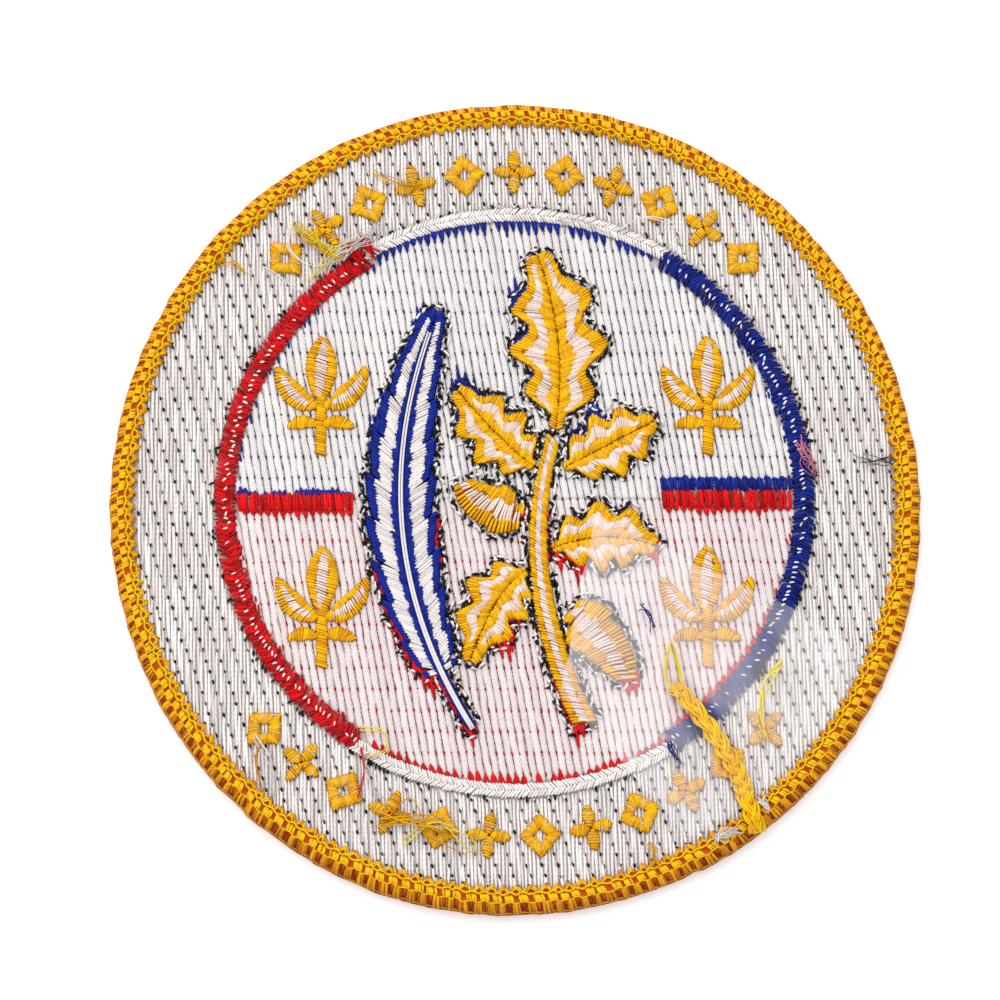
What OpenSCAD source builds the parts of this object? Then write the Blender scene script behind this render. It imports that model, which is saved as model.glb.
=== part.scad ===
// A round embroidered patch that lies on its face, with its back up.
// Z = 0 is the surface under the border, +Z runs out of the back,
// and +Y runs to the top of the design.

/* [Patch] */
// Width over the border
patch_w = 90; // [84:1:100]
// Height over the border, top to bottom
patch_h = 91.7; // [84:0.1:100]

/* [Border] */
// Width of the overlocked border, seen from above
border_w = 2.8; // [2.4:0.1:3.6]
// Thickness of the border
border_t = 2.8; // [2.6:0.1:3.6]
// Radius that rounds the border's section
border_round = 1.1; // [0.6:0.1:1.1]
// How deep the border grips the edge of the cloth
border_grip = 1.2; // [0.6:0.1:1.6]

/* [Layers] */
// Height of the stitching on the face above the surface that it lies on
face_clear = 0.1; // [0.05:0.05:0.2]
// Thickness of the ground cloth with its backing
cloth_t = 1; // [1:0.1:1.2]
// Thickness of the flat stitching on each side of the cloth
fill_t = 0.35; // [0.2:0.05:0.4]
// Height of the satin motifs above the flat stitching
satin_t = 0.45; // [0.3:0.05:0.5]
// Height of the ring's satin above the cloth
ring_t = 0.7; // [0.5:0.05:0.8]
// Thickness of the clear film
film_t = 0.12; // [0.08:0.01:0.2]
// Space between neighbours on the cloth
gap = 0.1; // [0.05:0.05:0.2]

/* [Ring] */
// Width of the outer band, from the border to the ring
band_w = 8.8; // [8:0.1:10]
// Width of the coloured arcs of the ring
ring_w = 2.3; // [1.8:0.1:3]
// Width of the white arcs of the ring
white_w = 1.5; // [1:0.1:1.8]
// Half angle of the white arc at the top
top_half_angle = 31; // [20:1:45]
// Half angle of the white arc at the bottom
bottom_half_angle = 32.5; // [20:0.5:45]

/* [Dividing line] */
// Height of the red stripe
stripe_red_h = 2; // [1.4:0.1:3]
// Height of the blue stripe over it
stripe_blue_h = 1.2; // [0.8:0.1:2]
// Height of the left red stripe's upper edge above the middle
stripe_left_y = 0.5; // [-0.5:0.1:1.5]
// Height of the right red stripe's upper edge above the middle
stripe_right_y = 0.9; // [-0.5:0.1:1.5]
// Length of the stripes to the left of the main figure
stripe_left_l = 13; // [8:0.5:14]
// Length of the stripes to the right of the main figure
stripe_right_l = 14.5; // [8:0.5:15]

/* [Main figure] */
// Height that the sprig and the feather are drawn to
figure_h = 50; // [44:1:52]

/* [Small sprigs] */
// Height of a small sprig
sprig_h = 13.4; // [11:0.1:14]
// Distance from the edge of the fields to the middle of a small sprig
sprig_inset = 6.4; // [6:0.1:7]
// Angle of the upper sprigs over the dividing line
sprig_up_angle = 28.5; // [26:0.5:31]
// Angle of the lower sprigs under the dividing line
sprig_down_angle = 30; // [28:0.5:32]

/* [Ornaments] */
// Height of an ornament in the band
ornament_h = 4.8; // [4:0.1:5.2]
// Width of an ornament in the band
ornament_w = 4.5; // [3.6:0.1:4.8]
// Width of the satin that draws an open lozenge
lozenge_stroke = 1; // [0.8:0.05:1.2]
// Half width of a petal of the small flower
petal_half = 0.62; // [0.45:0.01:0.8]
// Number of ornaments in the upper arc
top_count = 11; // [7:1:12]
// Angle between neighbours in the upper arc
top_step = 8.6; // [8:0.1:9.4]
// Number of ornaments in the lower arc
bottom_count = 12; // [7:1:12]
// Angle between neighbours in the lower arc
bottom_step = 8.5; // [8:0.1:9.4]

/* [Border tail] */
// Half width of the chained thread tail
tail_half = 1.35; // [0.9:0.05:1.6]
// Thickness of the tail
tail_t = 0.8; // [0.6:0.05:1]

/* [Hidden] */
$fn = 96;

// Layers, from the face up to the back
face_fill_z = face_clear + satin_t;
cloth_z = face_fill_z + fill_t;
cloth_top = cloth_z + cloth_t;
fill_top = cloth_top + fill_t;
satin_top = fill_top + satin_t;
lay_gap = gap / 2;
over_satin = satin_top + lay_gap;

// How far a cut runs past what it cuts
past = 1;

// Plan sizes, from the border inwards
half_w = patch_w / 2;
half_h = patch_h / 2;
inner_w = half_w - border_w;
inner_h = half_h - border_w;
ring_ro = min(inner_w, inner_h) - band_w;
ring_ri = ring_ro - ring_w;
field_r = ring_ri - gap;
ornament_r = ring_ro + band_w / 2;

// Share of the difference between the half sizes that shifts the arcs' centres
arc_shift = 1 / (2 - sqrt(2));

// Steps along each side of a leaf, a lobed leaf and the feather
leaf_steps = 12;
lobed_steps = 36;
acorn_steps = 24;
barb_groups = 9;
tail_steps = 10;

// Lobes along each side of a lobed leaf, and the bare foot before them
lobes = 3.5;
petiole_share = 0.09;
petiole_half = 0.13;

// Columns of the tables of leaves: the ends and the pull of the midrib, then the half width
BASE = 0;
PULL = 1;
TIP = 2;
HALF = 3;

// Lobed leaves of the main figure, as shares of its height
oak_leaves = [
    [[0.092, 0.156], [0.124, 0.36], [0.052, 0.56], 0.11],
    [[0.11, 0.068], [0.22, 0.128], [0.312, 0.176], 0.08],
    [[0.044, 0.072], [-0.032, 0.128], [-0.128, 0.248], 0.08],
    [[0.082, -0.116], [0.2, -0.064], [0.312, -0.108], 0.082],
    [[0.026, -0.164], [-0.044, -0.204], [-0.098, -0.368], 0.08]
];

// Acorns of the main figure, as shares of its height
acorns = [
    [[0.112, -0.266], [0.178, -0.28], [0.256, -0.41], 0.062],
    [[0.024, -0.024], [-0.048, -0.044], [-0.124, 0.032], 0.056]
];

// Stem of the main figure and midrib of the feather, as shares of its height
stem_line = [[0.156, -0.51], [-0.008, -0.17], [0.088, 0.14]];
stem_foot_half = 0.026;
stem_top_half = 0.014;
feather_line = [[-0.092, -0.52], [-0.368, -0.08], [-0.172, 0.43]];
feather_half = 0.082;
quill_share = 0.15;

// Leaves of a small sprig, as shares of its height
sprig_leaves = [
    [[0, -0.04], [0, 0.25], [0, 0.5], 0.125],
    [[0.03, -0.09], [0.26, -0.05], [0.37, 0.24], 0.088],
    [[-0.03, -0.09], [-0.26, -0.05], [-0.37, 0.24], 0.088],
    [[0.03, -0.25], [0.14, -0.19], [0.27, -0.27], 0.052],
    [[-0.03, -0.25], [-0.14, -0.19], [-0.27, -0.27], 0.052]
];
sprig_stem = [[0, -0.5], [0, -0.25], [0, 0.02]];
sprig_stem_half = 0.04;

// Middle line of the border's tail and corners of the film, as shares of the ring's outer radius
tail_line = [[0.754, -0.997], [0.736, -0.886], [0.55, -0.66]];
film_corners = [[0.27, -0.06], [0.95, -0.39], [1.32, -0.66], [0.93, -1.32], [0.57, -1.14], [0.15, -0.66]];

// A point, and the unit vector to its left, on a curve from p[0] to p[2] pulled to p[1]
function on_curve(p, t) = (1 - t) * (1 - t) * p[BASE] + 2 * t * (1 - t) * p[PULL] + t * t * p[TIP];
function along(p, t) = (1 - t) * (p[PULL] - p[BASE]) + t * (p[TIP] - p[PULL]);
function left_of(v) = [-v[1], v[0]] / norm(v);
function beside(p, t, d) = on_curve(p, t) + d * left_of(along(p, t));

// Half widths along a shape, as shares of its largest half width
function leaf_width(t) = pow(sin(180 * t), 0.8);
function lobed_width(t) =
    let (u = max(0, (t - petiole_share) / (1 - petiole_share)))
    max(petiole_half, pow(sin(180 * pow(u, 0.85)), 0.62) * (0.78 - 0.22 * cos(360 * lobes * (u + 0.01))));
function acorn_width(t) =
    t < 0.12 ? 0.22 :
    t < 0.45 ? 1 - 0.3 * pow((0.45 - t) / 0.33, 2) :
    0.82 * sqrt(max(0, 1 - pow((t - 0.45) / 0.55, 2)));
function feather_width(t) =
    let (u = max(0, (t - quill_share) / (1 - quill_share)))
    pow(sin(180 * (0.12 + 0.86 * u)), 0.6);

// Outline with a left and a right side, from lists of [place along the curve, half width]
function outline(p, sides) = concat(
    [for (s = sides) beside(p, s[0], s[1])],
    [for (i = [len(sides) - 1:-1:0]) beside(p, sides[i][0], -sides[i][1])]
);

// The oval of the patch, swept by a section drawn at its outer edge
module round_the_oval() {
    shift = (half_h - half_w) * arc_shift;
    for (turn = [0, 180])
        rotate(turn) translate([-shift, 0, 0]) rotate(-45)
            rotate_extrude(angle = 90) translate([half_w + shift, 0]) children();
    for (turn = [90, 270])
        rotate(turn) translate([shift, 0, 0]) rotate(-45)
            rotate_extrude(angle = 90) translate([half_h - shift, 0]) children();
}

// A flat disc of the patch's oval, held back from the outer edge by inset
module oval_disc(inset, z, t) {
    shift = (half_h - half_w) * arc_shift;
    for (turn = [0, 180])
        rotate(turn) translate([-shift, 0, z]) rotate(-45)
            rotate_extrude(angle = 90) square([half_w + shift - inset, t]);
    for (turn = [90, 270])
        rotate(turn) translate([shift, 0, z]) rotate(-45)
            rotate_extrude(angle = 90) square([half_h - shift - inset, t]);
}

module layer(z, t) {
    translate([0, 0, z]) linear_extrude(t) children();
}

module leaf_shape(p, half) {
    polygon(outline(p, [for (i = [0:leaf_steps])
        [i / leaf_steps, half * leaf_width(0.04 + 0.92 * i / leaf_steps)]]));
}

module oak_leaf_shape(leaf) {
    p = [for (k = [BASE:TIP]) leaf[k] * figure_h];
    half = leaf[HALF] * figure_h;
    polygon(outline(p, [for (i = [0:lobed_steps])
        [i / lobed_steps, half * lobed_width(0.02 + 0.96 * i / lobed_steps)]]));
}

module acorn_shape(nut) {
    p = [for (k = [BASE:TIP]) nut[k] * figure_h];
    half = nut[HALF] * figure_h;
    polygon(outline(p, [for (i = [0:acorn_steps])
        [i / acorn_steps, half * acorn_width(0.98 * i / acorn_steps)]]));
}

module stem_shape(p, foot, top) {
    polygon(outline(p, [for (i = [0:leaf_steps])
        [i / leaf_steps, foot + (top - foot) * i / leaf_steps]]));
}

module feather_shape() {
    half = feather_half * figure_h;
    step = (1 - quill_share) / barb_groups;
    polygon(outline(feather_line * figure_h, concat(
        [[0.01, 0.12 * half], [quill_share, 0.12 * half]],
        [for (i = [0:barb_groups - 1]) for (share = [0.05, 0.85])
            let (t = quill_share + step * (i + share))
            [t, half * (0.8 + 0.2 * share) * feather_width(t)]]
    )));
}

module sprig_solid(z) {
    for (leaf = sprig_leaves)
        layer(z, satin_t) leaf_shape([for (k = [BASE:TIP]) leaf[k] * sprig_h], leaf[HALF] * sprig_h);
    layer(z, satin_t)
        stem_shape(sprig_stem * sprig_h, sprig_stem_half * sprig_h, sprig_stem_half * sprig_h);
}

module lozenge_solid(z) {
    reach = ornament_w * ornament_h / (2 * norm([ornament_w, ornament_h]));
    inner = (reach - lozenge_stroke) / reach;
    corners = [[ornament_w / 2, 0], [0, ornament_h / 2], [-ornament_w / 2, 0], [0, -ornament_h / 2]];
    layer(z, satin_t) difference() {
        polygon(corners);
        polygon(corners * inner);
    }
}

module flower_solid(z) {
    foot = petal_half / 3;
    for (turn = [0, 90, 180, 270]) {
        reach = turn % 180 == 0 ? ornament_w / 2 : ornament_h / 2;
        layer(z, satin_t) rotate(turn)
            leaf_shape([[foot, 0], [(foot + reach) / 2, 0], [reach, 0]], petal_half);
    }
    layer(z, satin_t) circle(petal_half * 0.9);
}

// Ornament i of a row of count, standing on the arc above the middle or hanging on the one below it
module ornament(i, count, step, below, z) {
    angle = ((count + 1) / 2 - i) * step;
    rotate(below ? -angle : angle) translate([0, below ? -ornament_r : ornament_r])
        if (i % 2 == 1) lozenge_solid(z);
        else flower_solid(z);
}

// Places of the small sprigs: upper left, upper right, lower left, lower right
function sprig_place(i) =
    let (angle = i <= 2 ? sprig_up_angle : -sprig_down_angle, side = i % 2 == 1 ? -1 : 1)
    (field_r - sprig_inset) * [side * cos(angle), sin(angle)];

module arc_of_ring(from, sweep, inner, z, t) {
    rotate(from) rotate_extrude(angle = sweep)
        translate([inner, z]) square([ring_ro - inner, t]);
}

// The part of a disc above or below the dividing line
module half_field(side, z, t) {
    layer(z, t) intersection() {
        circle(field_r);
        translate([-field_r, side > 0 ? gap / 2 : -field_r - gap / 2]) square([2 * field_r, field_r]);
    }
}

module band(z, t) {
    difference() {
        oval_disc(border_w + gap, z, t);
        translate([0, 0, z - past]) cylinder(r = ring_ro + gap, h = t + 2 * past);
    }
}

// Half length of the dividing line inside the ring, at height y
function chord(y) = sqrt(field_r * field_r - y * y) - gap;

module stripe(side, length, low, high) {
    reach = chord(max(abs(low), abs(high)));
    layer(fill_top, satin_t)
        translate([side > 0 ? reach - length : -reach, low]) square([length, high - low]);
}

module tail_shape(grow) {
    polygon(outline(tail_line * ring_ro, [for (i = [0:tail_steps])
        [i / tail_steps, grow + tail_half * (1 - 0.45 * pow(i / tail_steps, 3))]]));
}

module ground_cloth() {
    color("whitesmoke") oval_disc(border_w - border_grip, cloth_z, cloth_t);
}

module merrow_border() {
    color("gold") round_the_oval() difference() {
        translate([-border_w, 0]) {
            translate([border_round, 0]) square([border_w - 2 * border_round, border_t]);
            translate([0, border_round]) square([border_w, border_t - 2 * border_round]);
            for (x = [border_round, border_w - border_round], z = [border_round, border_t - border_round])
                translate([x, z]) circle(border_round);
        }
        translate([-border_w - past, cloth_z - lay_gap])
            square([past + border_grip + gap, cloth_t + 2 * lay_gap]);
    }
}

module band_fill() {
    color("white") band(cloth_top, fill_t);
}

module upper_field() {
    color("white") half_field(1, cloth_top, fill_t);
}

module lower_field() {
    color("mistyrose") half_field(-1, cloth_top, fill_t);
}

module ring_red() {
    color("firebrick") arc_of_ring(90 + top_half_angle, 180 - top_half_angle - bottom_half_angle,
        ring_ri, cloth_top, ring_t);
}

module ring_blue() {
    color("midnightblue") arc_of_ring(270 + bottom_half_angle, 180 - top_half_angle - bottom_half_angle,
        ring_ri, cloth_top, ring_t);
}

module ring_white(middle, half_angle) {
    space = gap / ring_ro * 180 / PI;
    color("white") arc_of_ring(middle - half_angle + space, 2 * (half_angle - space),
        ring_ro - white_w, cloth_top, ring_t);
}

module ring_white_top() {
    ring_white(90, top_half_angle);
}

module ring_white_bottom() {
    ring_white(270, bottom_half_angle);
}

module stripe_left() {
    color("firebrick") stripe(-1, stripe_left_l, stripe_left_y - stripe_red_h, stripe_left_y);
}

module stripe_right_red() {
    color("firebrick") stripe(1, stripe_right_l, stripe_right_y - stripe_red_h, stripe_right_y);
}

module stripe_right_blue() {
    color("midnightblue") stripe(1, stripe_right_l,
        stripe_right_y + gap, stripe_right_y + gap + stripe_blue_h);
}

module feather() {
    color("royalblue") layer(fill_top, satin_t) feather_shape();
}

module oak_stem() {
    color("gold") layer(fill_top, satin_t)
        stem_shape(stem_line * figure_h, stem_foot_half * figure_h, stem_top_half * figure_h);
}

module oak_leaf(i) {
    color("gold") layer(fill_top, satin_t) oak_leaf_shape(oak_leaves[i - 1]);
}

module acorn(i) {
    color("goldenrod") layer(fill_top, satin_t) acorn_shape(acorns[i - 1]);
}

module sprig(i) {
    color("gold") translate(sprig_place(i)) sprig_solid(fill_top);
}

module top_ornament(i) {
    color("gold") ornament(i, top_count, top_step, false, fill_top);
}

module bottom_ornament(i) {
    color("gold") ornament(i, bottom_count, bottom_step, true, fill_top);
}

module border_tail() {
    color("orange") layer(over_satin, tail_t) tail_shape(0);
}

module tail_tape() {
    color("gainsboro") layer(over_satin, film_t) difference() {
        intersection() {
            circle(min(inner_w, inner_h) + 0.6 * border_round);
            polygon(film_corners * ring_ro);
        }
        tail_shape(2 * gap);
    }
}

module face_band() {
    color("black") band(face_fill_z, fill_t);
}

module face_upper_field() {
    color("royalblue") half_field(1, face_fill_z, fill_t);
}

module face_lower_field() {
    color("red") half_field(-1, face_fill_z, fill_t);
}

module face_ring() {
    color("white") difference() {
        translate([0, 0, face_clear]) cylinder(r = ring_ro, h = satin_t + fill_t);
        translate([0, 0, face_clear - past]) cylinder(r = ring_ri, h = satin_t + fill_t + 2 * past);
    }
}

module face_figure() {
    color("gold") {
        layer(face_clear, satin_t)
            stem_shape(stem_line * figure_h, stem_foot_half * figure_h, stem_top_half * figure_h);
        for (leaf = oak_leaves) layer(face_clear, satin_t) oak_leaf_shape(leaf);
        for (nut = acorns) layer(face_clear, satin_t) acorn_shape(nut);
    }
}

module face_feather() {
    color("white") layer(face_clear, satin_t) feather_shape();
}

module face_sprigs() {
    color("gold") for (i = [1:4]) translate(sprig_place(i)) sprig_solid(face_clear);
}

module face_ornaments() {
    color("gold") {
        for (i = [1:top_count]) ornament(i, top_count, top_step, false, face_clear);
        for (i = [1:bottom_count]) ornament(i, bottom_count, bottom_step, true, face_clear);
    }
}

ground_cloth();
merrow_border();
band_fill();
upper_field();
lower_field();
ring_red();
ring_blue();
ring_white_top();
ring_white_bottom();
stripe_left();
stripe_right_red();
stripe_right_blue();
feather();
oak_stem();
for (i = [1:len(oak_leaves)])
    oak_leaf(i);
for (i = [1:len(acorns)])
    acorn(i);
for (i = [1:4])
    sprig(i);
for (i = [1:top_count])
    top_ornament(i);
for (i = [1:bottom_count])
    bottom_ornament(i);
border_tail();
tail_tape();
face_band();
face_upper_field();
face_lower_field();
face_ring();
face_figure();
face_feather();
face_sprigs();
face_ornaments();
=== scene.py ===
import math

import bpy
import numpy as np
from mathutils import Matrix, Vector


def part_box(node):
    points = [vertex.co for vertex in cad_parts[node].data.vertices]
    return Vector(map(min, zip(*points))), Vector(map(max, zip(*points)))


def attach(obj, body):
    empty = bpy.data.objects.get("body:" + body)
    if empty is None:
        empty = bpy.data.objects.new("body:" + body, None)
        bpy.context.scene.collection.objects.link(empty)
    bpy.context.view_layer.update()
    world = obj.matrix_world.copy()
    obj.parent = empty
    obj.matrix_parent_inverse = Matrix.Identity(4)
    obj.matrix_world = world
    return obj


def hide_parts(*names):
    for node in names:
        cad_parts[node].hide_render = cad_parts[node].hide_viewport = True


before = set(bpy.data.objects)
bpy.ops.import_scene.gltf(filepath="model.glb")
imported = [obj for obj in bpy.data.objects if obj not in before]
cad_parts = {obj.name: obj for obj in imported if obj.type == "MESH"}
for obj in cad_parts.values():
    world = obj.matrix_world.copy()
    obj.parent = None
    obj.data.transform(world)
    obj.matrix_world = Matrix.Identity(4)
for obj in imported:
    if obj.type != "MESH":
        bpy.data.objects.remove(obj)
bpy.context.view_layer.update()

# Lengths here are in millimetres, and become metres where a mesh is made
MM = 0.001


def box_mm(node):
    """Lowest and highest corner of a node of the frame, in millimetres."""
    low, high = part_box(node)
    return np.array(low) / MM, np.array(high) / MM


def middle(node):
    """Middle of a node in plan, in millimetres."""
    low, high = box_mm(node)
    return (low[:2] + high[:2]) / 2


# Sizes taken from the frame
HALF_W, HALF_H = box_mm("merrow_border")[1][:2]
INNER_W, _, FILL_TOP = box_mm("band_fill")[1]
CLOTH_Z = box_mm("ground_cloth")[0][2]
CLOTH_TOP = box_mm("band_fill")[0][2]
CLOTH_W = box_mm("ground_cloth")[1][0]
SATIN_TOP = box_mm("oak_stem")[1][2]
RING_RO = -box_mm("ring_red")[0][0]
RING_TOP = box_mm("ring_red")[1][2]
FIELD_R = box_mm("upper_field")[1][0]
FILM_Z = box_mm("tail_tape")[0][2]
GAP = 0.1
RING_RI = FIELD_R + GAP
BORDER_W = HALF_W - INNER_W - GAP
TOP_HALF_ANGLE = math.asin(box_mm("ring_white_top")[1][0] / RING_RO)
BOTTOM_HALF_ANGLE = math.asin(box_mm("ring_white_bottom")[1][0] / RING_RO)

# Sizes and shares of the part's own shapes
WHITE_W = 1.5
FIGURE_H = 50
SPRIG_H = 13.4
ORNAMENT_W = 4.5
ORNAMENT_H = 4.8
LOZENGE_STROKE = 1.0
PETAL_HALF = 0.62
OAK_LEAVES = [
    [[0.092, 0.156], [0.124, 0.36], [0.052, 0.56], 0.11],
    [[0.11, 0.068], [0.22, 0.128], [0.312, 0.176], 0.08],
    [[0.044, 0.072], [-0.032, 0.128], [-0.128, 0.248], 0.08],
    [[0.082, -0.116], [0.2, -0.064], [0.312, -0.108], 0.082],
    [[0.026, -0.164], [-0.044, -0.204], [-0.098, -0.368], 0.08],
]
ACORNS = [
    [[0.112, -0.266], [0.178, -0.28], [0.256, -0.41], 0.062],
    [[0.024, -0.024], [-0.048, -0.044], [-0.124, 0.032], 0.056],
]
STEM = [[0.156, -0.51], [-0.008, -0.17], [0.088, 0.14]]
STEM_FOOT, STEM_TOP = 0.026, 0.014
FEATHER = [[-0.092, -0.52], [-0.368, -0.08], [-0.172, 0.43]]
FEATHER_HALF = 0.082
QUILL_SHARE = 0.15
BARB_GROUPS = 9
SPRIG_LEAVES = [
    [[0, -0.04], [0, 0.25], [0, 0.5], 0.125],
    [[0.03, -0.09], [0.26, -0.05], [0.37, 0.24], 0.088],
    [[-0.03, -0.09], [-0.26, -0.05], [-0.37, 0.24], 0.088],
    [[0.03, -0.25], [0.14, -0.19], [0.27, -0.27], 0.052],
    [[-0.03, -0.25], [-0.14, -0.19], [-0.27, -0.27], 0.052],
]
SPRIG_STEM = [[0, -0.5], [0, -0.25], [0, 0.02]]
SPRIG_STEM_HALF = 0.04
TAIL_LINE = np.array([[0.754, -0.997], [0.736, -0.886], [0.55, -0.66]]) * RING_RO
TAIL_ROOT = np.array([0.796, -1.118]) * RING_RO
FILM_CORNERS = [[0.27, -0.06], [0.95, -0.39], [1.32, -0.66], [0.93, -1.32], [0.57, -1.14], [0.15, -0.66]]

# Stitches: spacing of neighbours, length from hole to hole, and slope of the rows
BAND_PITCH, BAND_STITCH, BAND_DROP = 0.426, 4.76, 1.19
FIELD_PITCH, FIELD_STITCH = 0.827, 2.38
FIELD_LEAN = math.radians(10)
FIELD_SLOPE = math.tan(FIELD_LEAN)
RING_PITCH, RING_LOOP_PITCH, WHITE_ARC_PITCH = 0.29, 0.56, 0.36
SATIN_PITCH, SPRIG_PITCH, PETAL_PITCH, STRIPE_PITCH = 0.34, 0.32, 0.3, 0.27
BORDER_REPEATS = 194


def unit(v):
    return v / np.maximum(np.linalg.norm(v, axis=-1, keepdims=True), 1e-9)


def blend(a, b, t):
    return a + (b - a) * t


def left_of(way):
    """Directions turned a quarter to the left."""
    return way[..., ::-1] * [-1, 1]


def polar(radius, angle):
    return np.stack([radius * np.cos(angle), radius * np.sin(angle)], -1)


def run_along(line):
    """Distance from a line's start at each of its points."""
    return np.concatenate([[0], np.cumsum(np.linalg.norm(np.diff(line, axis=0), axis=1))])


def signed_area(outline):
    """Area of a closed outline, negative where it runs clockwise."""
    x, y = outline[:, 0], outline[:, 1]
    return np.sum(x * np.roll(y, -1) - y * np.roll(x, -1)) / 2


def slab_faces(rounds, steps):
    """Faces of two layers, each of rings and a last point in the middle, joined along their rims."""
    size = rounds * steps + 1
    here = np.arange(steps)
    there = (here + 1) % steps
    faces = []
    for base, flip in ((0, True), (size, False)):
        tris = [np.stack([np.full(steps, base + size - 1), base + here, base + there], -1)]
        for r in range(rounds - 1):
            low, high = base + r * steps, base + (r + 1) * steps
            tris.append(np.stack([low + here, high + here, high + there], -1))
            tris.append(np.stack([low + here, high + there, low + there], -1))
        tris = np.concatenate(tris)
        faces.append(tris[:, ::-1] if flip else tris)
    low, high = (rounds - 1) * steps, size + (rounds - 1) * steps
    faces.append(np.stack([low + here, low + there, high + there], -1))
    faces.append(np.stack([low + here, high + there, high + here], -1))
    return np.concatenate(faces)


class Threads:
    """Tubes of thread, gathered and then joined into one piece."""

    def __init__(self, sides=5):
        self.sides = sides
        self.parts = []

    def add(self, paths, radius, flat=1.0, up=(0.0, 0.0, 1.0), tone=0.5):
        """paths: strands x points x 3. up points out of the surface that they lie on."""
        paths = np.asarray(paths, float)
        n, p, _ = paths.shape
        if n == 0:
            return
        s = self.sides
        radius = np.broadcast_to(np.asarray(radius, float), (n, p))[..., None]
        tone = np.asarray(tone, float)
        tone = np.broadcast_to(tone if tone.ndim == 2 else tone.reshape(-1, 1), (n, p))
        along = unit(np.gradient(paths, axis=1))
        side = unit(np.cross(along, np.broadcast_to(np.asarray(up, float), paths.shape)))
        top = np.cross(side, along)
        angle = 2 * math.pi * (np.arange(s) / s + 0.25)
        ring = paths[:, :, None] + radius[..., None] * (
            side[:, :, None] * np.cos(angle)[:, None] + top[:, :, None] * (flat * np.sin(angle))[:, None]
        )
        run = np.concatenate(
            [np.zeros((n, 1)), np.cumsum(np.linalg.norm(np.diff(paths, axis=1), axis=2), axis=1)], axis=1
        )
        strand = (np.arange(n) * p * s)[:, None, None]
        row = (np.arange(p - 1) * s)[None, :, None]
        k = np.arange(s)[None, None, :]
        here, there = strand + row + k, strand + row + (k + 1) % s
        quads = np.stack([here, here + s, there + s, there], -1).reshape(-1)
        u0 = np.broadcast_to(run[:, :-1, None], here.shape)
        u1 = np.broadcast_to(run[:, 1:, None], here.shape)
        v0 = np.broadcast_to(k / s, here.shape)
        v1 = v0 + 1 / s
        quad_uv = np.stack([np.stack([u0, v0], -1), np.stack([u1, v0], -1),
                            np.stack([u1, v1], -1), np.stack([u0, v1], -1)], -2).reshape(-1, 2)
        first = strand[:, 0] + np.arange(s)[None]
        last = first[:, ::-1] + (p - 1) * s
        caps = np.stack([first, last], 1).reshape(-1)
        cap_u = np.stack([run[:, :1].repeat(s, 1), run[:, -1:].repeat(s, 1)], 1).reshape(-1)
        cap_v = np.broadcast_to(np.arange(s) / s, (2 * n, s)).reshape(-1)
        self.parts.append({
            "co": ring.reshape(-1, 3), "loops": np.concatenate([quads, caps]),
            "sizes": np.concatenate([np.full(len(quads) // 4, 4), np.full(2 * n, s)]),
            "uv": np.concatenate([quad_uv, np.stack([cap_u, cap_v], -1)]),
            "tone": np.repeat(tone.reshape(-1), s),
        })

    def add_mesh(self, co, faces, tone=0.5):
        """A closed mesh of its own, with faces that all have as many corners."""
        faces = np.asarray(faces)
        uv = np.asarray(co)[faces.reshape(-1), :2]
        self.parts.append({
            "co": np.asarray(co, float), "loops": faces.reshape(-1),
            "sizes": np.full(len(faces), faces.shape[1]), "uv": uv,
            "tone": np.broadcast_to(np.asarray(tone, float), (len(co),)),
        })

    def piece(self, name, material, slot, *nodes):
        """Joins the tubes into an object that rides on the patch and stands for nodes of the frame."""
        shift = np.cumsum([0] + [len(part["co"]) for part in self.parts[:-1]])
        loops = np.concatenate([part["loops"] + by for part, by in zip(self.parts, shift)])
        joined = lambda key: np.concatenate([part[key] for part in self.parts])
        co, sizes, uv, tone = joined("co") * MM, joined("sizes"), joined("uv"), joined("tone")
        mesh = bpy.data.meshes.new(name)
        mesh.vertices.add(len(co))
        mesh.loops.add(len(loops))
        mesh.polygons.add(len(sizes))
        mesh.vertices.foreach_set("co", co.astype(np.float32).reshape(-1))
        mesh.loops.foreach_set("vertex_index", loops.astype(np.int32))
        mesh.polygons.foreach_set("loop_start", np.concatenate([[0], np.cumsum(sizes)[:-1]]).astype(np.int32))
        mesh.polygons.foreach_set("use_smooth", np.ones(len(sizes), bool))
        mesh.update(calc_edges=True)
        mesh.uv_layers.new(name="thread").data.foreach_set("uv", uv.astype(np.float32).reshape(-1))
        mesh.attributes.new("tone", "FLOAT", "POINT").data.foreach_set("value", tone.astype(np.float32))
        mesh.validate()
        mesh.materials.append(material)
        obj = bpy.data.objects.new(name, mesh)
        bpy.context.scene.collection.objects.link(obj)
        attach(obj, "root")
        if nodes:
            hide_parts(*nodes)
        return obj

    def in_colour(self, name, colour, *nodes):
        """A piece in one of the colours of thread."""
        return self.piece(name, MATERIALS[colour], SLOTS[colour], *nodes)


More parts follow.
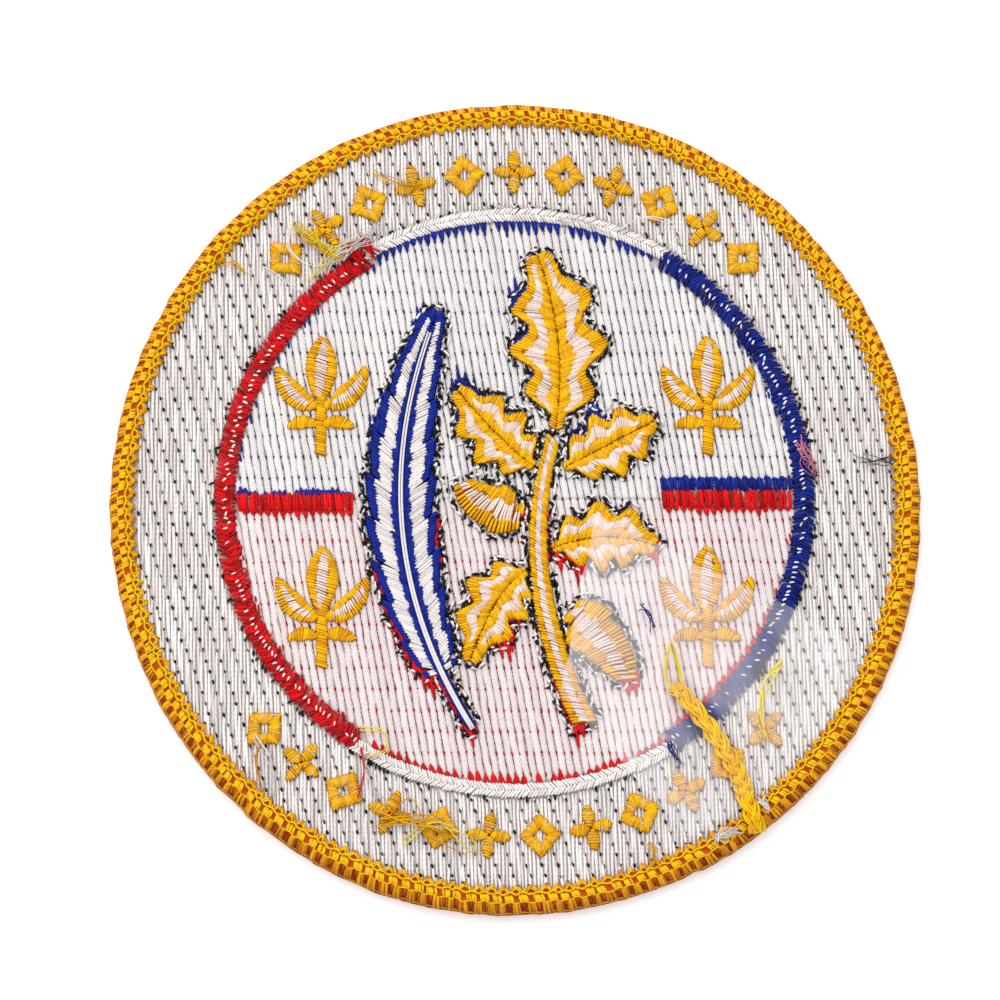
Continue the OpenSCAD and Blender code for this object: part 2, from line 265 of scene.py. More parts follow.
class Graph:
    """The nodes of one material."""

    def __init__(self, name):
        self.material = bpy.data.materials.new(name)
        self.material.use_nodes = True
        self.tree = self.material.node_tree
        self.shader = self.tree.nodes["Principled BSDF"]

    def add(self, kind, **settings):
        node = self.tree.nodes.new("ShaderNode" + kind)
        for key, value in settings.items():
            setattr(node, key, value)
        return node

    def join(self, value, socket):
        if isinstance(value, (int, float, tuple)):
            socket.default_value = value
        else:
            self.tree.links.new(value, socket)

    def math(self, operation, a, b=0.0, clamp=False):
        node = self.add("Math", operation=operation, use_clamp=clamp)
        self.join(a, node.inputs[0])
        self.join(b, node.inputs[1])
        return node.outputs[0]

    def plus(self, a, b, clamp=False):
        return self.math("ADD", a, b, clamp)

    def minus(self, a, b):
        return self.math("SUBTRACT", a, b)

    def times(self, a, b):
        return self.math("MULTIPLY", a, b)

    def place(self):
        return self.add("TexCoord").outputs["Object"]

    def tone(self):
        return self.add("Attribute", attribute_name="tone").outputs["Fac"]

    def split(self, vector):
        """The x, y and z of a vector."""
        node = self.add("SeparateXYZ")
        self.join(vector, node.inputs[0])
        return node.outputs

    def mix(self, factor, a, b):
        node = self.add("Mix", data_type="RGBA")
        self.join(factor, node.inputs[0])
        self.join(a, node.inputs[6])
        self.join(b, node.inputs[7])
        return node.outputs[2]

    def noise(self, vector, scale, detail=2.0):
        node = self.add("TexNoise")
        self.join(vector, node.inputs["Vector"])
        node.inputs["Scale"].default_value = scale
        node.inputs["Detail"].default_value = detail
        return node.outputs["Fac"]

    def bump(self, height, strength, depth):
        """Relief of the height, as deep as depth millimetres."""
        node = self.add("Bump")
        node.inputs["Strength"].default_value = strength
        node.inputs["Distance"].default_value = depth * MM
        self.join(height, node.inputs["Height"])
        self.join(node.outputs[0], self.shader.inputs["Normal"])

    def colour(self, shade, deep, bright):
        self.join(self.mix(shade, deep, bright), self.shader.inputs["Base Color"])

    def set(self, **values):
        """Constants on the shader's own sockets."""
        for key, value in values.items():
            self.shader.inputs[key.replace("_", " ")].default_value = value


def rgb(red, green, blue):
    """A colour of the screen, 0 to 255, as the shader's linear colour."""
    def linear(c):
        c = c / 255
        return c / 12.92 if c <= 0.04045 else ((c + 0.055) / 1.055) ** 2.4
    return (linear(red), linear(green), linear(blue), 1.0)


def thread_material(name, deep, bright, lay=0.6, plies=2, relief=0.6, sheen=0.0, edge=0.8, ply_painted_shade=0.12):
    """Twisted thread with fine fibres along it: painted shade makes it deep at its sides and between its
    plies, and leaves its top bright as if lit.
    """
    g = Graph(name)
    along, around, _ = g.split(g.add("UVMap", uv_map="thread").outputs[0])
    tone = g.tone()
    turns = g.plus(g.math("DIVIDE", along, lay), g.times(around, float(plies)))
    # ply lightens the plies and darkens the grooves between them: painted light and shade
    ply = g.math("SINE", g.times(turns, 2 * math.pi))
    fibres = g.add("CombineXYZ")
    g.join(g.times(along, 2.2), fibres.inputs[0])
    g.join(g.times(around, 11.0), fibres.inputs[1])
    g.join(g.times(tone, 37.0), fibres.inputs[2])
    fibre = g.noise(fibres.outputs[0], 1.0)
    # height is 1 on the strand's top; side darkens its flanks, as far as edge sets: painted shade
    height = g.math("COSINE", g.times(around, 2 * math.pi))
    side = g.math("MAXIMUM", g.minus(0.65, height), 0.0)
    shade = g.plus(tone, g.times(g.minus(fibre, 0.5), 0.6))
    shade = g.minus(shade, g.times(side, edge))
    shade = g.plus(shade, g.times(ply, ply_painted_shade), clamp=True)
    g.colour(shade, deep, bright)
    g.bump(g.plus(g.times(ply, 0.5), fibre), relief, 0.05)
    g.set(Roughness=0.45, Sheen_Weight=sheen, Sheen_Roughness=0.4, Specular_IOR_Level=0.18)
    return g.material


def arcs(a, b, start, crest, end, points=5, bow=None, ease=0.3):
    """Stitches from a to b, that rise from height start to crest and dip to end within a share, ease."""
    t = 0.5 - 0.5 * np.cos(np.linspace(0, math.pi, points))
    plan = blend(a[:, None], b[:, None], t[None, :, None])
    if bow is not None:
        across = left_of(unit(b - a))
        plan = plan + (across * np.reshape(bow, (-1, 1)))[:, None] * np.sin(math.pi * t)[None, :, None]
    column = lambda h: np.reshape(np.broadcast_to(h, (len(a),)), (-1, 1))
    start, crest, end = column(start), column(crest), column(end)
    rise = np.maximum(0, 1 - t / ease)[None] ** 2
    fall = np.maximum(0, 1 - (1 - t) / ease)[None] ** 2
    z = crest - (crest - start) * rise - (crest - end) * fall
    return np.concatenate([plan, z[..., None]], -1)


def dash(place, half, low, top, points=3):
    """Short stitches at each place, half to both sides of it, that rise from height low to top."""
    return arcs(place - half, place + half, low, top, low, points)


def chop(low, high, start, step, least):
    """Stitches between low and high, with holes at start and every step from it."""
    if high - low < least:
        return []
    first = math.ceil((low + least - start) / step)
    last = math.floor((high - least - start) / step)
    cuts = [low] + [start + step * i for i in range(first, last + 1)] + [high]
    return list(zip(cuts[:-1], cuts[1:]))


# The oval of the patch: four arcs, with the sides' centres shifted against the ends'
SHIFT = (HALF_H - HALF_W) / (2 - math.sqrt(2))
ARC_CENTRES = SHIFT * np.array([[-1, 0], [0, 1], [1, 0], [0, -1]])
ARC_RADII = np.array([HALF_W + SHIFT, HALF_H - SHIFT, HALF_W + SHIFT, HALF_H - SHIFT])
ARC_ENDS = np.concatenate([[0], np.cumsum(ARC_RADII - BORDER_W / 2)])
ARC_ENDS = ARC_ENDS / ARC_ENDS[-1]


def round_oval(share, inset):
    """Points inset from the patch's edge, at a share of the way round, and the way out there."""
    share = np.mod(share, 1.0)
    arc = np.clip(np.searchsorted(ARC_ENDS, share, side="right") - 1, 0, 3)
    angle = np.radians(-45 + 90 * (arc + (share - ARC_ENDS[arc]) / (ARC_ENDS[arc + 1] - ARC_ENDS[arc])))
    out = np.stack([np.cos(angle), np.sin(angle)], -1)
    return ARC_CENTRES[arc] + (ARC_RADII[arc] - inset)[..., None] * out, out


def reach_of_oval(x, inset):
    """Half the oval's height at x, held back by inset."""
    end = ARC_RADII[1] - inset
    if abs(x) < end * math.sqrt(0.5):
        return SHIFT + math.sqrt(end * end - x * x)
    side = ARC_RADII[0] - inset
    return math.sqrt(max(0.0, side * side - (abs(x) + SHIFT) ** 2))


# Curves of the motifs, as in the part: ends and pull of a midrib, and half widths along it
def on_curve(p, t):
    p, t = np.asarray(p, float), np.asarray(t, float)[:, None]
    return (1 - t) ** 2 * p[0] + 2 * t * (1 - t) * p[1] + t * t * p[2]


def beside(p, t, d):
    p, t = np.asarray(p, float), np.asarray(t, float)
    along = (1 - t)[:, None] * (p[1] - p[0]) + t[:, None] * (p[2] - p[1])
    return on_curve(p, t) + left_of(unit(along)) * np.reshape(d, (-1, 1))


def length_of(p):
    return np.linalg.norm(np.diff(on_curve(p, np.linspace(0, 1, 40)), axis=0), axis=1).sum()


def leaf_width(t):
    return np.sin(math.pi * (0.04 + 0.92 * np.clip(t, 0, 1))) ** 0.8


def lobed_width(t):
    u = np.maximum(0, (0.02 + 0.96 * np.clip(t, 0, 1) - 0.09) / 0.91)
    lobes = 0.78 - 0.22 * np.cos(2 * math.pi * 3.5 * (u + 0.01))
    return np.maximum(0.13, np.maximum(0, np.sin(math.pi * u ** 0.85)) ** 0.62 * lobes)


def acorn_width(t):
    t = 0.98 * np.clip(t, 0, 1)
    nut = 0.82 * np.sqrt(np.maximum(0, 1 - ((t - 0.45) / 0.55) ** 2))
    return np.where(t < 0.12, 0.22, np.where(t < 0.45, 1 - 0.3 * ((0.45 - t) / 0.33) ** 2, nut))


def feather_width(t):
    u = np.clip((t - QUILL_SHARE) / (1 - QUILL_SHARE), 0, 1)
    tooth = np.clip((np.mod(u * BARB_GROUPS, 1) - 0.05) / 0.8, 0, 1)
    vane = (0.8 + 0.2 * (0.05 + 0.8 * tooth)) * np.sin(math.pi * (0.12 + 0.86 * u)) ** 0.6
    return np.where(t < QUILL_SHARE, 0.12, vane)


def even_width(t):
    return np.ones_like(t)


def outline_of(p, half, width, steps=60):
    t = np.linspace(0, 1, steps)
    return np.concatenate([beside(p, t, half * width(t)), beside(p, t, -half * width(t))[::-1]])


def inside(outline, points):
    """Which points lie in a closed outline."""
    x, y = points[:, 0], points[:, 1]
    found = np.zeros(len(points), bool)
    for (x1, y1), (x2, y2) in zip(outline, np.roll(outline, -1, 0)):
        if y1 != y2:
            found ^= ((y1 > y) != (y2 > y)) & (x < (x2 - x1) * (y - y1) / (y2 - y1) + x1)
    return found


def satin_rows(colour, white, left, right, rng, share=0.34, radius=0.17):
    """Satin seen from its back: coloured thread at both ends of each row, white thread in its middle."""
    n = len(left)
    if n == 0:
        return
    crest = SATIN_TOP - radius
    edge = FILL_TOP + 0.02
    span = np.linalg.norm(right - left, axis=1)
    wave = 0.05 * np.sin(np.arange(n)[None] * 0.9 + rng.uniform(0, 6, (2, 1)))
    jag = (wave + rng.uniform(-0.05, 0.05, (2, n)))[..., None]
    a = blend(left, right, share + jag[0])
    b = blend(left, right, 1 - share + jag[1])
    overshoot = unit(right - left) * rng.uniform(-0.08, 0.16, (n, 1))
    height = crest + rng.uniform(-0.03, 0.03, n)
    tone = rng.uniform(0.45, 1.0, (3, n))
    size = radius * rng.uniform(0.88, 1.1, (3, n, 1)) * np.array([0.75, 1, 1, 1, 0.75])
    # A low, flat bed of the coloured thread under the rows, at its darkest tone: painted shade in the gaps
    # between the rows
    colour.add(arcs(left, right, edge, crest - 0.16, edge, 3), 0.26, 0.35, tone=rng.uniform(0.0, 0.15, n))
    narrow = span < 1.5 if white is not None else np.ones(n, bool)
    colour.add(arcs(left - overshoot, right + overshoot, edge, height, edge)[narrow], size[0][narrow], 0.9,
               tone=tone[0][narrow])
    wide = ~narrow
    if not wide.any():
        return
    colour.add(arcs(left - overshoot, a, edge, height, height - 0.08)[wide], size[0][wide], 0.9,
               tone=tone[0][wide])
    colour.add(arcs(b, right + overshoot, height - 0.08, height, edge)[wide], size[1][wide], 0.9,
               tone=tone[1][wide])
    forward = np.gradient(left, axis=0) * 0.5
    c = blend(left, right, share - 0.05 + rng.uniform(-0.06, 0.04, (n, 1)))
    c = c + forward * rng.uniform(0.2, 1, (n, 1))
    d = blend(left, right, 1.05 - share + rng.uniform(-0.04, 0.06, (n, 1)))
    d = d - forward * rng.uniform(0, 0.4, (n, 1))
    white.add(arcs(c, d, height - 0.14, height + 0.03, height - 0.14)[wide], size[2][wide] * 0.85, 0.9,
              tone=tone[2][wide])


def satin_leaf(colour, white, p, half, width, rng, slant, columns=1, share=0.34, pitch=SATIN_PITCH):
    """Rows of satin across a curve, in one column, or in two that meet at the midrib."""
    p = np.asarray(p, float)
    length = length_of(p)
    if columns == 1:
        count = max(3, round(length / pitch))
        t = (np.arange(count) + 0.5) / count
        t = np.clip(t + rng.uniform(-0.1, 0.1, count) / count, 0, 1)
        lead = slant * half / length
        ahead, behind = np.clip(t + lead, 0, 1), np.clip(t - lead, 0, 1)
        satin_rows(colour, white, beside(p, ahead, half * width(ahead)),
                   beside(p, behind, -half * width(behind)), rng, share)
        return
    fine = np.linspace(0, 1, 400)
    for hand in (1, -1):
        ahead = np.clip(fine + slant * half * width(fine) / length, 0, 1)
        edge = beside(p, ahead, hand * half * width(ahead))
        step = np.linalg.norm(np.diff(edge, axis=0), axis=1)
        run = np.concatenate([[0], np.cumsum(np.maximum(step * 0.95, length / 399))])
        count = round(run[-1] / pitch)
        t = np.interp((np.arange(count) + 0.5) * run[-1] / count, run, fine)
        ahead = np.clip(t + slant * half * width(t) / length, 0, 1)
        satin_rows(colour, white, beside(p, t, 0.1 * hand * np.ones(count)),
                   beside(p, ahead, hand * half * width(ahead)), rng, share)


def figure_shapes():
    """Curve, half width, width function, slant and columns of each shape of the main figure, by node."""
    scaled = lambda p: np.array(p, float) * FIGURE_H
    shapes = {}
    for i, leaf in enumerate(OAK_LEAVES):
        shapes[f"oak_leaf_{i + 1}"] = (scaled(leaf[:3]), leaf[3] * FIGURE_H, lobed_width, 0.5, 2)
    for i, nut in enumerate(ACORNS):
        shapes[f"acorn_{i + 1}"] = (scaled(nut[:3]), nut[3] * FIGURE_H, acorn_width, 0.15, 1)
    stem_width = lambda t: blend(1.0, STEM_TOP / STEM_FOOT, t)
    shapes["oak_stem"] = (scaled(STEM), STEM_FOOT * FIGURE_H, stem_width, 0.5, 1)
    return shapes


FEATHER_SHAPE = (np.array(FEATHER) * FIGURE_H, FEATHER_HALF * FIGURE_H, feather_width)


# What the materials of both fields' columns share
COLUMNS = {"lay": 0.45, "plies": 8, "relief": 0.9, "edge": 0.7}
# Colours of thread: name and slot of the material, its deep and bright colour, and what else is set
THREAD_COLOURS = {
    "white": ("white_bobbin_thread", "white_thread", (184, 172, 168), (254, 248, 245), {"sheen": 0.1}),
    "column": ("white_thread_columns", "white_thread", (152, 144, 146), (250, 245, 243),
               {**COLUMNS, "ply_painted_shade": 0.27}),
    "rosy": ("white_columns_over_red", "white_thread", (184, 142, 150), (250, 239, 238),
             {**COLUMNS, "ply_painted_shade": 0.28}),
    "cream": ("cream_bobbin_thread", "white_thread", (184, 142, 116), (255, 238, 230), {"sheen": 0.05}),
    "gold": ("gold_thread", "gold_thread", (180, 88, 0), (255, 200, 8), {}),
    "border": ("gold_border_thread", "gold_thread", (188, 90, 0), (255, 204, 12), {"edge": 0.6}),
    "wrap": ("gold_border_wrap", "gold_thread", (140, 46, 0), (255, 184, 2), {"edge": 0.45}),
    "red": ("red_thread", "red_thread", (126, 0, 4), (240, 14, 20), {}),
    "blue": ("blue_thread", "blue_thread", (2, 6, 70), (17, 44, 156), {}),
    "black": ("black_thread", "black_thread", (4, 3, 6), (74, 66, 70), {}),
    # The next three: blue and red thread darkened with painted shade, for the dashes that lie deep in the
    # fields' grooves
    "shaded_navy": ("dark_blue_thread", "blue_thread", (26, 28, 66), (78, 82, 136), {}),
    "shaded_blue": ("shaded_blue_thread", "blue_thread", (84, 80, 104), (150, 146, 166), {}),
    "shaded_red": ("shaded_red_thread", "red_thread", (140, 66, 82), (200, 132, 146), {}),
    "lemon": ("lemon_thread", "gold_thread", (214, 166, 6), (255, 226, 36), {}),
    "pale_gold": ("pale_gold_thread", "gold_thread", (226, 196, 74), (255, 238, 130), {}),
    "pink": ("pink_thread", "red_thread", (190, 70, 90), (240, 170, 180), {}),
}
SLOTS = {colour: row[1] for colour, row in THREAD_COLOURS.items()}
MATERIALS = {colour: thread_material(name, rgb(*deep), rgb(*bright), **look)
             for colour, (name, _, deep, bright, look) in THREAD_COLOURS.items()}


def core_material():
    """Depth of the border: orange, with painted shade that turns it dark red in its recesses and in the
    pockets between the wraps.
    """
    g = Graph("gold_border_depth")
    place = g.place()
    tone = g.tone()
    grain = g.noise(place, 1500.0)
    shade = g.plus(tone, g.times(g.minus(grain, 0.5), 0.5), clamp=True)
    g.colour(shade, rgb(204, 72, 0), rgb(238, 150, 8))
    g.bump(grain, 0.5, 0.08)
    g.set(Roughness=0.6, Specular_IOR_Level=0.2)
    return g.material


def cloth_material():
    """Ground cloth: fine weave, grey under the band, blue and red thread showing under the fields."""
    g = Graph("ground_cloth_weave")
    place = g.place()
    x, y, _ = g.split(place)
    flat = g.add("VectorMath", operation="MULTIPLY")
    g.join(place, flat.inputs[0])
    flat.inputs[1].default_value = (1, 1, 0)
    radius = g.add("VectorMath", operation="LENGTH")
    g.join(flat.outputs[0], radius.inputs[0])
    in_ring = g.math("LESS_THAN", radius.outputs["Value"], RING_RI * MM)
    upper = g.math("GREATER_THAN", y, 0.0)
    speckle = g.noise(place, 900.0)
    field = g.mix(upper, rgb(232, 194, 198), rgb(206, 202, 208))
    tint = g.mix(in_ring, rgb(232, 222, 216), field)
    g.colour(g.times(speckle, 0.5), tint, rgb(214, 208, 208))
    step = 2 * math.pi / (0.5 * MM)
    warp = g.math("SINE", g.times(x, step))
    weft = g.math("SINE", g.times(y, step))
    g.bump(g.times(warp, weft), 0.5, 0.08)
    g.set(Roughness=0.8, Sheen_Weight=0.2)
    return g.material


def face_material(name, deep, bright, pitch, slope):
    """Stitched face of the patch: rows of thread side by side."""
    g = Graph(name)
    place = g.place()
    x, y, _ = g.split(place)
    across = g.plus(x, g.times(y, slope))
    rows = g.math("SINE", g.times(across, 2 * math.pi / (pitch * MM)))
    fibre = g.noise(place, 1800.0)
    shade = g.plus(g.times(rows, 0.3), fibre, clamp=True)
    g.colour(shade, deep, bright)
    g.bump(g.plus(rows, g.times(fibre, 0.6)), 0.7, 0.12)
    g.set(Roughness=0.42, Sheen_Weight=0.25)
    return g.material


def film_material():
    """Clear film: milky, clearer where it has stuck to the threads, and glowing faintly white as painted
    light.
    """
    g = Graph("clear_film")
    place = g.place()
    wet = g.noise(place, 150.0, 3.0)
    fine = g.noise(place, 900.0)
    tone = g.tone()
    veil = g.plus(g.times(g.minus(wet, 0.45), 1.8), 0.5, clamp=True)
    veil = g.plus(g.times(veil, 0.22), 0.05)
    g.join(g.times(veil, tone), g.shader.inputs["Alpha"])
    g.colour(fine, rgb(232, 228, 234), rgb(255, 255, 255))
    g.bump(g.plus(wet, g.times(fine, 0.2)), 0.4, 0.3)
    # The white emission is painted light, for the light that the film scatters
    g.set(Roughness=0.18, IOR=1.45, Emission_Color=(1, 1, 1, 1), Emission_Strength=0.3)
    return g.material


def build_ground():
    """The woven ground with its backing: a disc held by the border, a little uneven."""
    rounds, steps = 14, 144
    rim, _ = round_oval(np.arange(steps) / steps, HALF_W - CLOTH_W)
    reach = (np.arange(rounds) + 1) / rounds
    plan = rim[None] * reach[:, None, None]
    wave = 0.03 * np.sin(plan[..., 0] * 0.9 + 1) * np.sin(plan[..., 1] * 0.7) * (1 - reach[:, None] ** 6)
    layers = []
    for base in (CLOTH_Z, CLOTH_TOP - 0.02):
        layers.append(np.concatenate([plan, (base + wave)[..., None]], -1).reshape(-1, 3))
        layers.append(np.array([[0, 0, base]]))
    disc = Threads()
    disc.add_mesh(np.concatenate(layers), slab_faces(rounds, steps))
    obj = disc.piece("ground_disc", cloth_material(), "backing_cloth", "ground_cloth")


def build_band():
    """Outer band: long white stitches that lap at slanted ends, with specks of black thread there."""
    rng = np.random.default_rng(11)
    threads, specks = Threads(), Threads()
    a, b, holes = [], [], []
    lap_x, lap_y = 0.09, 0.2
    under_border, first_hole, strong_share = 0.85, 0.7, 0.68
    columns = math.floor(INNER_W / BAND_PITCH)
    for k in range(-columns, columns + 1):
        x = k * BAND_PITCH + rng.uniform(-0.03, 0.03)
        far = reach_of_oval(x, BORDER_W - under_border)
        near = math.sqrt(max(0.0, (RING_RO + GAP / 2) ** 2 - x * x))
        spans = [(-far, far)] if near == 0 else [(-far, -near), (near, far)]
        start = -k * BAND_DROP + first_hole
        for low, high in spans:
            for y0, y1 in chop(low, high, start, BAND_STITCH, 0.4):
                a.append((x - lap_x, y1 + (lap_y if y1 < high else 0)))
                b.append((x + lap_x, y0 - (lap_y if y0 > low else 0)))
                if y0 > low:
                    holes.append((x, y0))
    a, b, holes = np.array(a), np.array(b), np.array(holes)
    n = len(a)
    a = a + rng.normal(0, 0.035, (n, 2)) * [1, 1.5]
    b = b + rng.normal(0, 0.035, (n, 2)) * [1, 1.5]
    drop = FILL_TOP - 0.42
    crest = FILL_TOP - 0.14 + rng.uniform(-0.07, 0.04, n)
    paths = arcs(a, b, drop, crest, drop, 6, rng.uniform(-0.05, 0.05, n), 0.2)
    paths[:, 1:-1, 0] += rng.normal(0, 0.03, (n, 4))
    size = 0.178 * rng.uniform(0.82, 1.15, (n, 1)) * np.array([0.4, 0.9, 1, 1, 0.9, 0.4])
    size = size * rng.uniform(0.92, 1.08, size.shape)
    threads.add(paths, size, 0.7, tone=rng.uniform(0.55, 1.15, n))
    m = len(holes)
    strong = rng.uniform(size=m) < strong_share
    place = holes + rng.normal(0, 0.05, (m, 2))
    half = np.array([-0.06, 0.18]) * rng.uniform(0.7, 1.3, (m, 1))
    top = FILL_TOP + np.where(strong, 0.03, -0.02)
    size = np.where(strong, 0.13, 0.085)[:, None] * rng.uniform(0.8, 1.2, (m, 1)) * np.array([0.7, 1.1, 0.7])
    specks.add(dash(place, -half, top - 0.14, top), size, 0.8,
               tone=np.where(strong, 0.05, 0.75) + rng.uniform(-0.1, 0.2, m))
    threads.in_colour("band_threads", "white", "band_fill")
    specks.in_colour("band_specks", "black")


def groove_ends(x0, radius):
    """Heights at which the leaning line through x0 enters and leaves a circle, if it meets it."""
    root = radius * radius * (1 + FIELD_SLOPE ** 2) - x0 * x0
    if root <= 0:
        return None
    return [(x0 * FIELD_SLOPE + sign * math.sqrt(root)) / (1 + FIELD_SLOPE ** 2) for sign in (-1, 1)]


def lay_teeth(threads, feet, lengths, way, rng, half=0.22):
    """Teeth of the face's thread, that taper along the grooves of a field. way is 1 upwards, -1 downwards."""
    n = len(feet)
    if n == 0:
        return
    feet, lengths = np.asarray(feet, float), np.asarray(lengths, float)
    for j in (-1, 0, 1):
        reach = way * lengths * (1 - 0.3 * abs(j)) * rng.uniform(0.8, 1.1, n)
        tip = feet + np.stack([j * half * 0.45 - reach * FIELD_SLOPE, reach], -1)
        size = 0.165 * rng.uniform(0.85, 1.15, (n, 1)) * np.array([0.9, 1, 1, 0.85, 0.5])
        paths = arcs(feet + [j * half, 0], tip, FILL_TOP - 0.02, FILL_TOP + 0.1, FILL_TOP - 0.1)
        threads.add(paths, size, 0.8, tone=rng.uniform(0.35, 1.0, n))


def column_ends(x0):
    """Ends of the leaning line through x0 in the fields, which go on to the ring's narrower white arcs."""
    near, far = groove_ends(x0, FIELD_R + 0.1), groove_ends(x0, RING_RO - WHITE_W + 0.15)
    if near is None:
        return None
    ends = []
    for y, far_y, half_angle in zip(near, far, (BOTTOM_HALF_ANGLE, TOP_HALF_ANGLE)):
        from_middle = abs(math.atan2(x0 - y * FIELD_SLOPE, abs(y)))
        ends.append(far_y if from_middle < half_angle - 0.02 else y)
    return ends


def build_field(side, colour, dash_colour, faint_colour, seed):
    """Half field above or below the dividing line: leaning columns of thread, and dashes in their grooves."""
    rng = np.random.default_rng(seed)
    threads, dashes, faint = Threads(6), Threads(), Threads()
    column_radius, dash_share, faint_share, faint_shift = 0.412, 0.86, 0.8, 1.6
    marks = []
    lines = math.ceil(FIELD_R * 1.05 / FIELD_PITCH)
    for k in range(-lines, lines + 1):
        for groove in (0, 1):
            x0 = (k + groove / 2) * FIELD_PITCH
            ends = column_ends(x0)
            if ends is None:
                continue
            low = max(ends[0], -GAP) if side > 0 else ends[0]
            high = ends[1] if side > 0 else min(ends[1], -GAP / 2)
            if high - low < 0.4:
                continue
            if groove:
                rows = range(math.ceil(low / FIELD_STITCH), math.floor(high / FIELD_STITCH) + 1)
                marks += [(x0 - row * FIELD_STITCH * FIELD_SLOPE, row * FIELD_STITCH) for row in rows]
                continue
            count = max(5, round((high - low) / (FIELD_STITCH / 5)))
            y = np.linspace(high, low, count)
            from_hole = np.abs(np.mod(y + FIELD_STITCH / 2, FIELD_STITCH) - FIELD_STITCH / 2)
            waist = np.exp(-(from_hole / 0.35) ** 2)
            drift = np.convolve(rng.normal(0, 0.05, count + 2), [0.4, 0.5, 0.4], "valid")
            path = np.stack([x0 - y * FIELD_SLOPE + drift, y, FILL_TOP - 0.2 - 0.03 * waist], -1)
            size = column_radius * rng.uniform(0.95, 1.05) * (1 - 0.09 * waist)
            size = size * rng.uniform(0.94, 1.05, count)
            size[[0, -1]] *= np.where(np.abs(y[[0, -1]]) < 2 * GAP, 1, 0.55)
            threads.add(path[None], size[None], 0.46, tone=rng.uniform(0.8, 1.1))
    marks = np.array(marks)
    m = len(marks)
    kept = rng.uniform(size=m) < dash_share
    place = marks + rng.normal(0, 0.05, (m, 2)) * [0.5, 1.4]
    half = rng.uniform(0.14, 0.3, (m, 1)) * np.array([[-FIELD_SLOPE, 1.0]])
    top = FILL_TOP - 0.1
    dashes.add(dash(place, half, top - 0.14, top)[kept],
               rng.uniform(0.08, 0.125, (m, 1))[kept] * np.array([0.65, 1.1, 0.65]), 0.7,
               tone=rng.uniform(0.1, 0.8, m)[kept])
    # Fainter dashes lower in the grooves, in thread with painted shade
    kept = np.hypot(*(marks - [0, faint_shift]).T) < FIELD_R - 0.4
    kept &= (np.sign(marks[:, 1] - faint_shift) == side) & (rng.uniform(size=m) < faint_share)
    place = marks + np.array([FIELD_SLOPE, -1.0]) * rng.uniform(0.9, 1.15, (m, 1))
    half = rng.uniform(0.25, 0.5, (m, 1)) * np.array([[-FIELD_SLOPE, 1.0]])
    top = FILL_TOP - 0.15
    faint.add(dash(place, half, top - 0.1, top)[kept],
              rng.uniform(0.05, 0.085, (m, 1))[kept] * np.array([0.4, 1, 0.4]), 0.8,
              tone=rng.uniform(0.1, 0.9, m)[kept])
    name = "upper" if side > 0 else "lower"
    threads.in_colour(f"{name}_threads", colour, f"{name}_field")
    dashes.in_colour(f"{name}_dashes", dash_colour)
    faint.in_colour(f"{name}_faint_dashes", faint_colour)


def build_ring_arc(colour, start, sweep, seed, knots):
    """A coloured arc of the ring: stitches from both edges that cross in the middle, with white loops."""
    rng = np.random.default_rng(seed)
    threads = Threads()
    middle_r = (RING_RO + RING_RI) / 2
    count = round(sweep * middle_r / RING_PITCH)
    angle = start + sweep * (np.arange(count) + 0.5) / count
    slant = 0.26 / middle_r
    scallop = 0.09 * np.cos(2 * math.pi * np.arange(count) / 3)
    fall, crest = CLOTH_TOP + 0.3, RING_TOP - 0.15
    for way, edge_r in ((1, RING_RO), (-1, RING_RI)):
        swing = rng.normal(0, 0.003, (2, count))
        reach = scallop + rng.uniform(-0.1, 0.06, count)
        edge = polar(edge_r + way * reach, angle - slant + swing[0])
        inward = polar(middle_r - way * rng.uniform(0.15, 0.5, count), angle + slant + swing[1])
        height = crest + rng.uniform(-0.1, 0.05, count)
        size = 0.155 * rng.uniform(0.8, 1.2, (count, 1)) * np.array([0.85, 1.05, 1, 0.6])
        threads.add(arcs(edge, inward, fall, height, fall + 0.2, 4), size, 0.9,
                    tone=rng.uniform(0.1, 1.05, count))
    spots = round(sweep * middle_r / RING_LOOP_PITCH)
    where = start + sweep * (np.arange(spots) + 0.5 + rng.uniform(-0.2, 0.2, spots)) / spots
    shown = rng.uniform(size=spots) < 0.75 + 0.25 * np.sin(np.arange(spots) * 0.13 + seed)
    spot = polar(middle_r - 0.1 + rng.normal(0, 0.13, spots), where)
    half = polar(rng.uniform(0.2, 0.32, spots), where + 0.4 + rng.normal(0, 0.35, spots))
    knots.add(dash(spot, -half, crest, crest + 0.19, 4)[shown],
              0.105 * rng.uniform(0.75, 1.2, (spots, 1))[shown] * np.array([0.6, 1, 1, 0.6]),
              tone=rng.uniform(0.8, 1.1, spots)[shown])
    threads.in_colour(f"ring_{colour}_threads", colour, f"ring_{colour}")


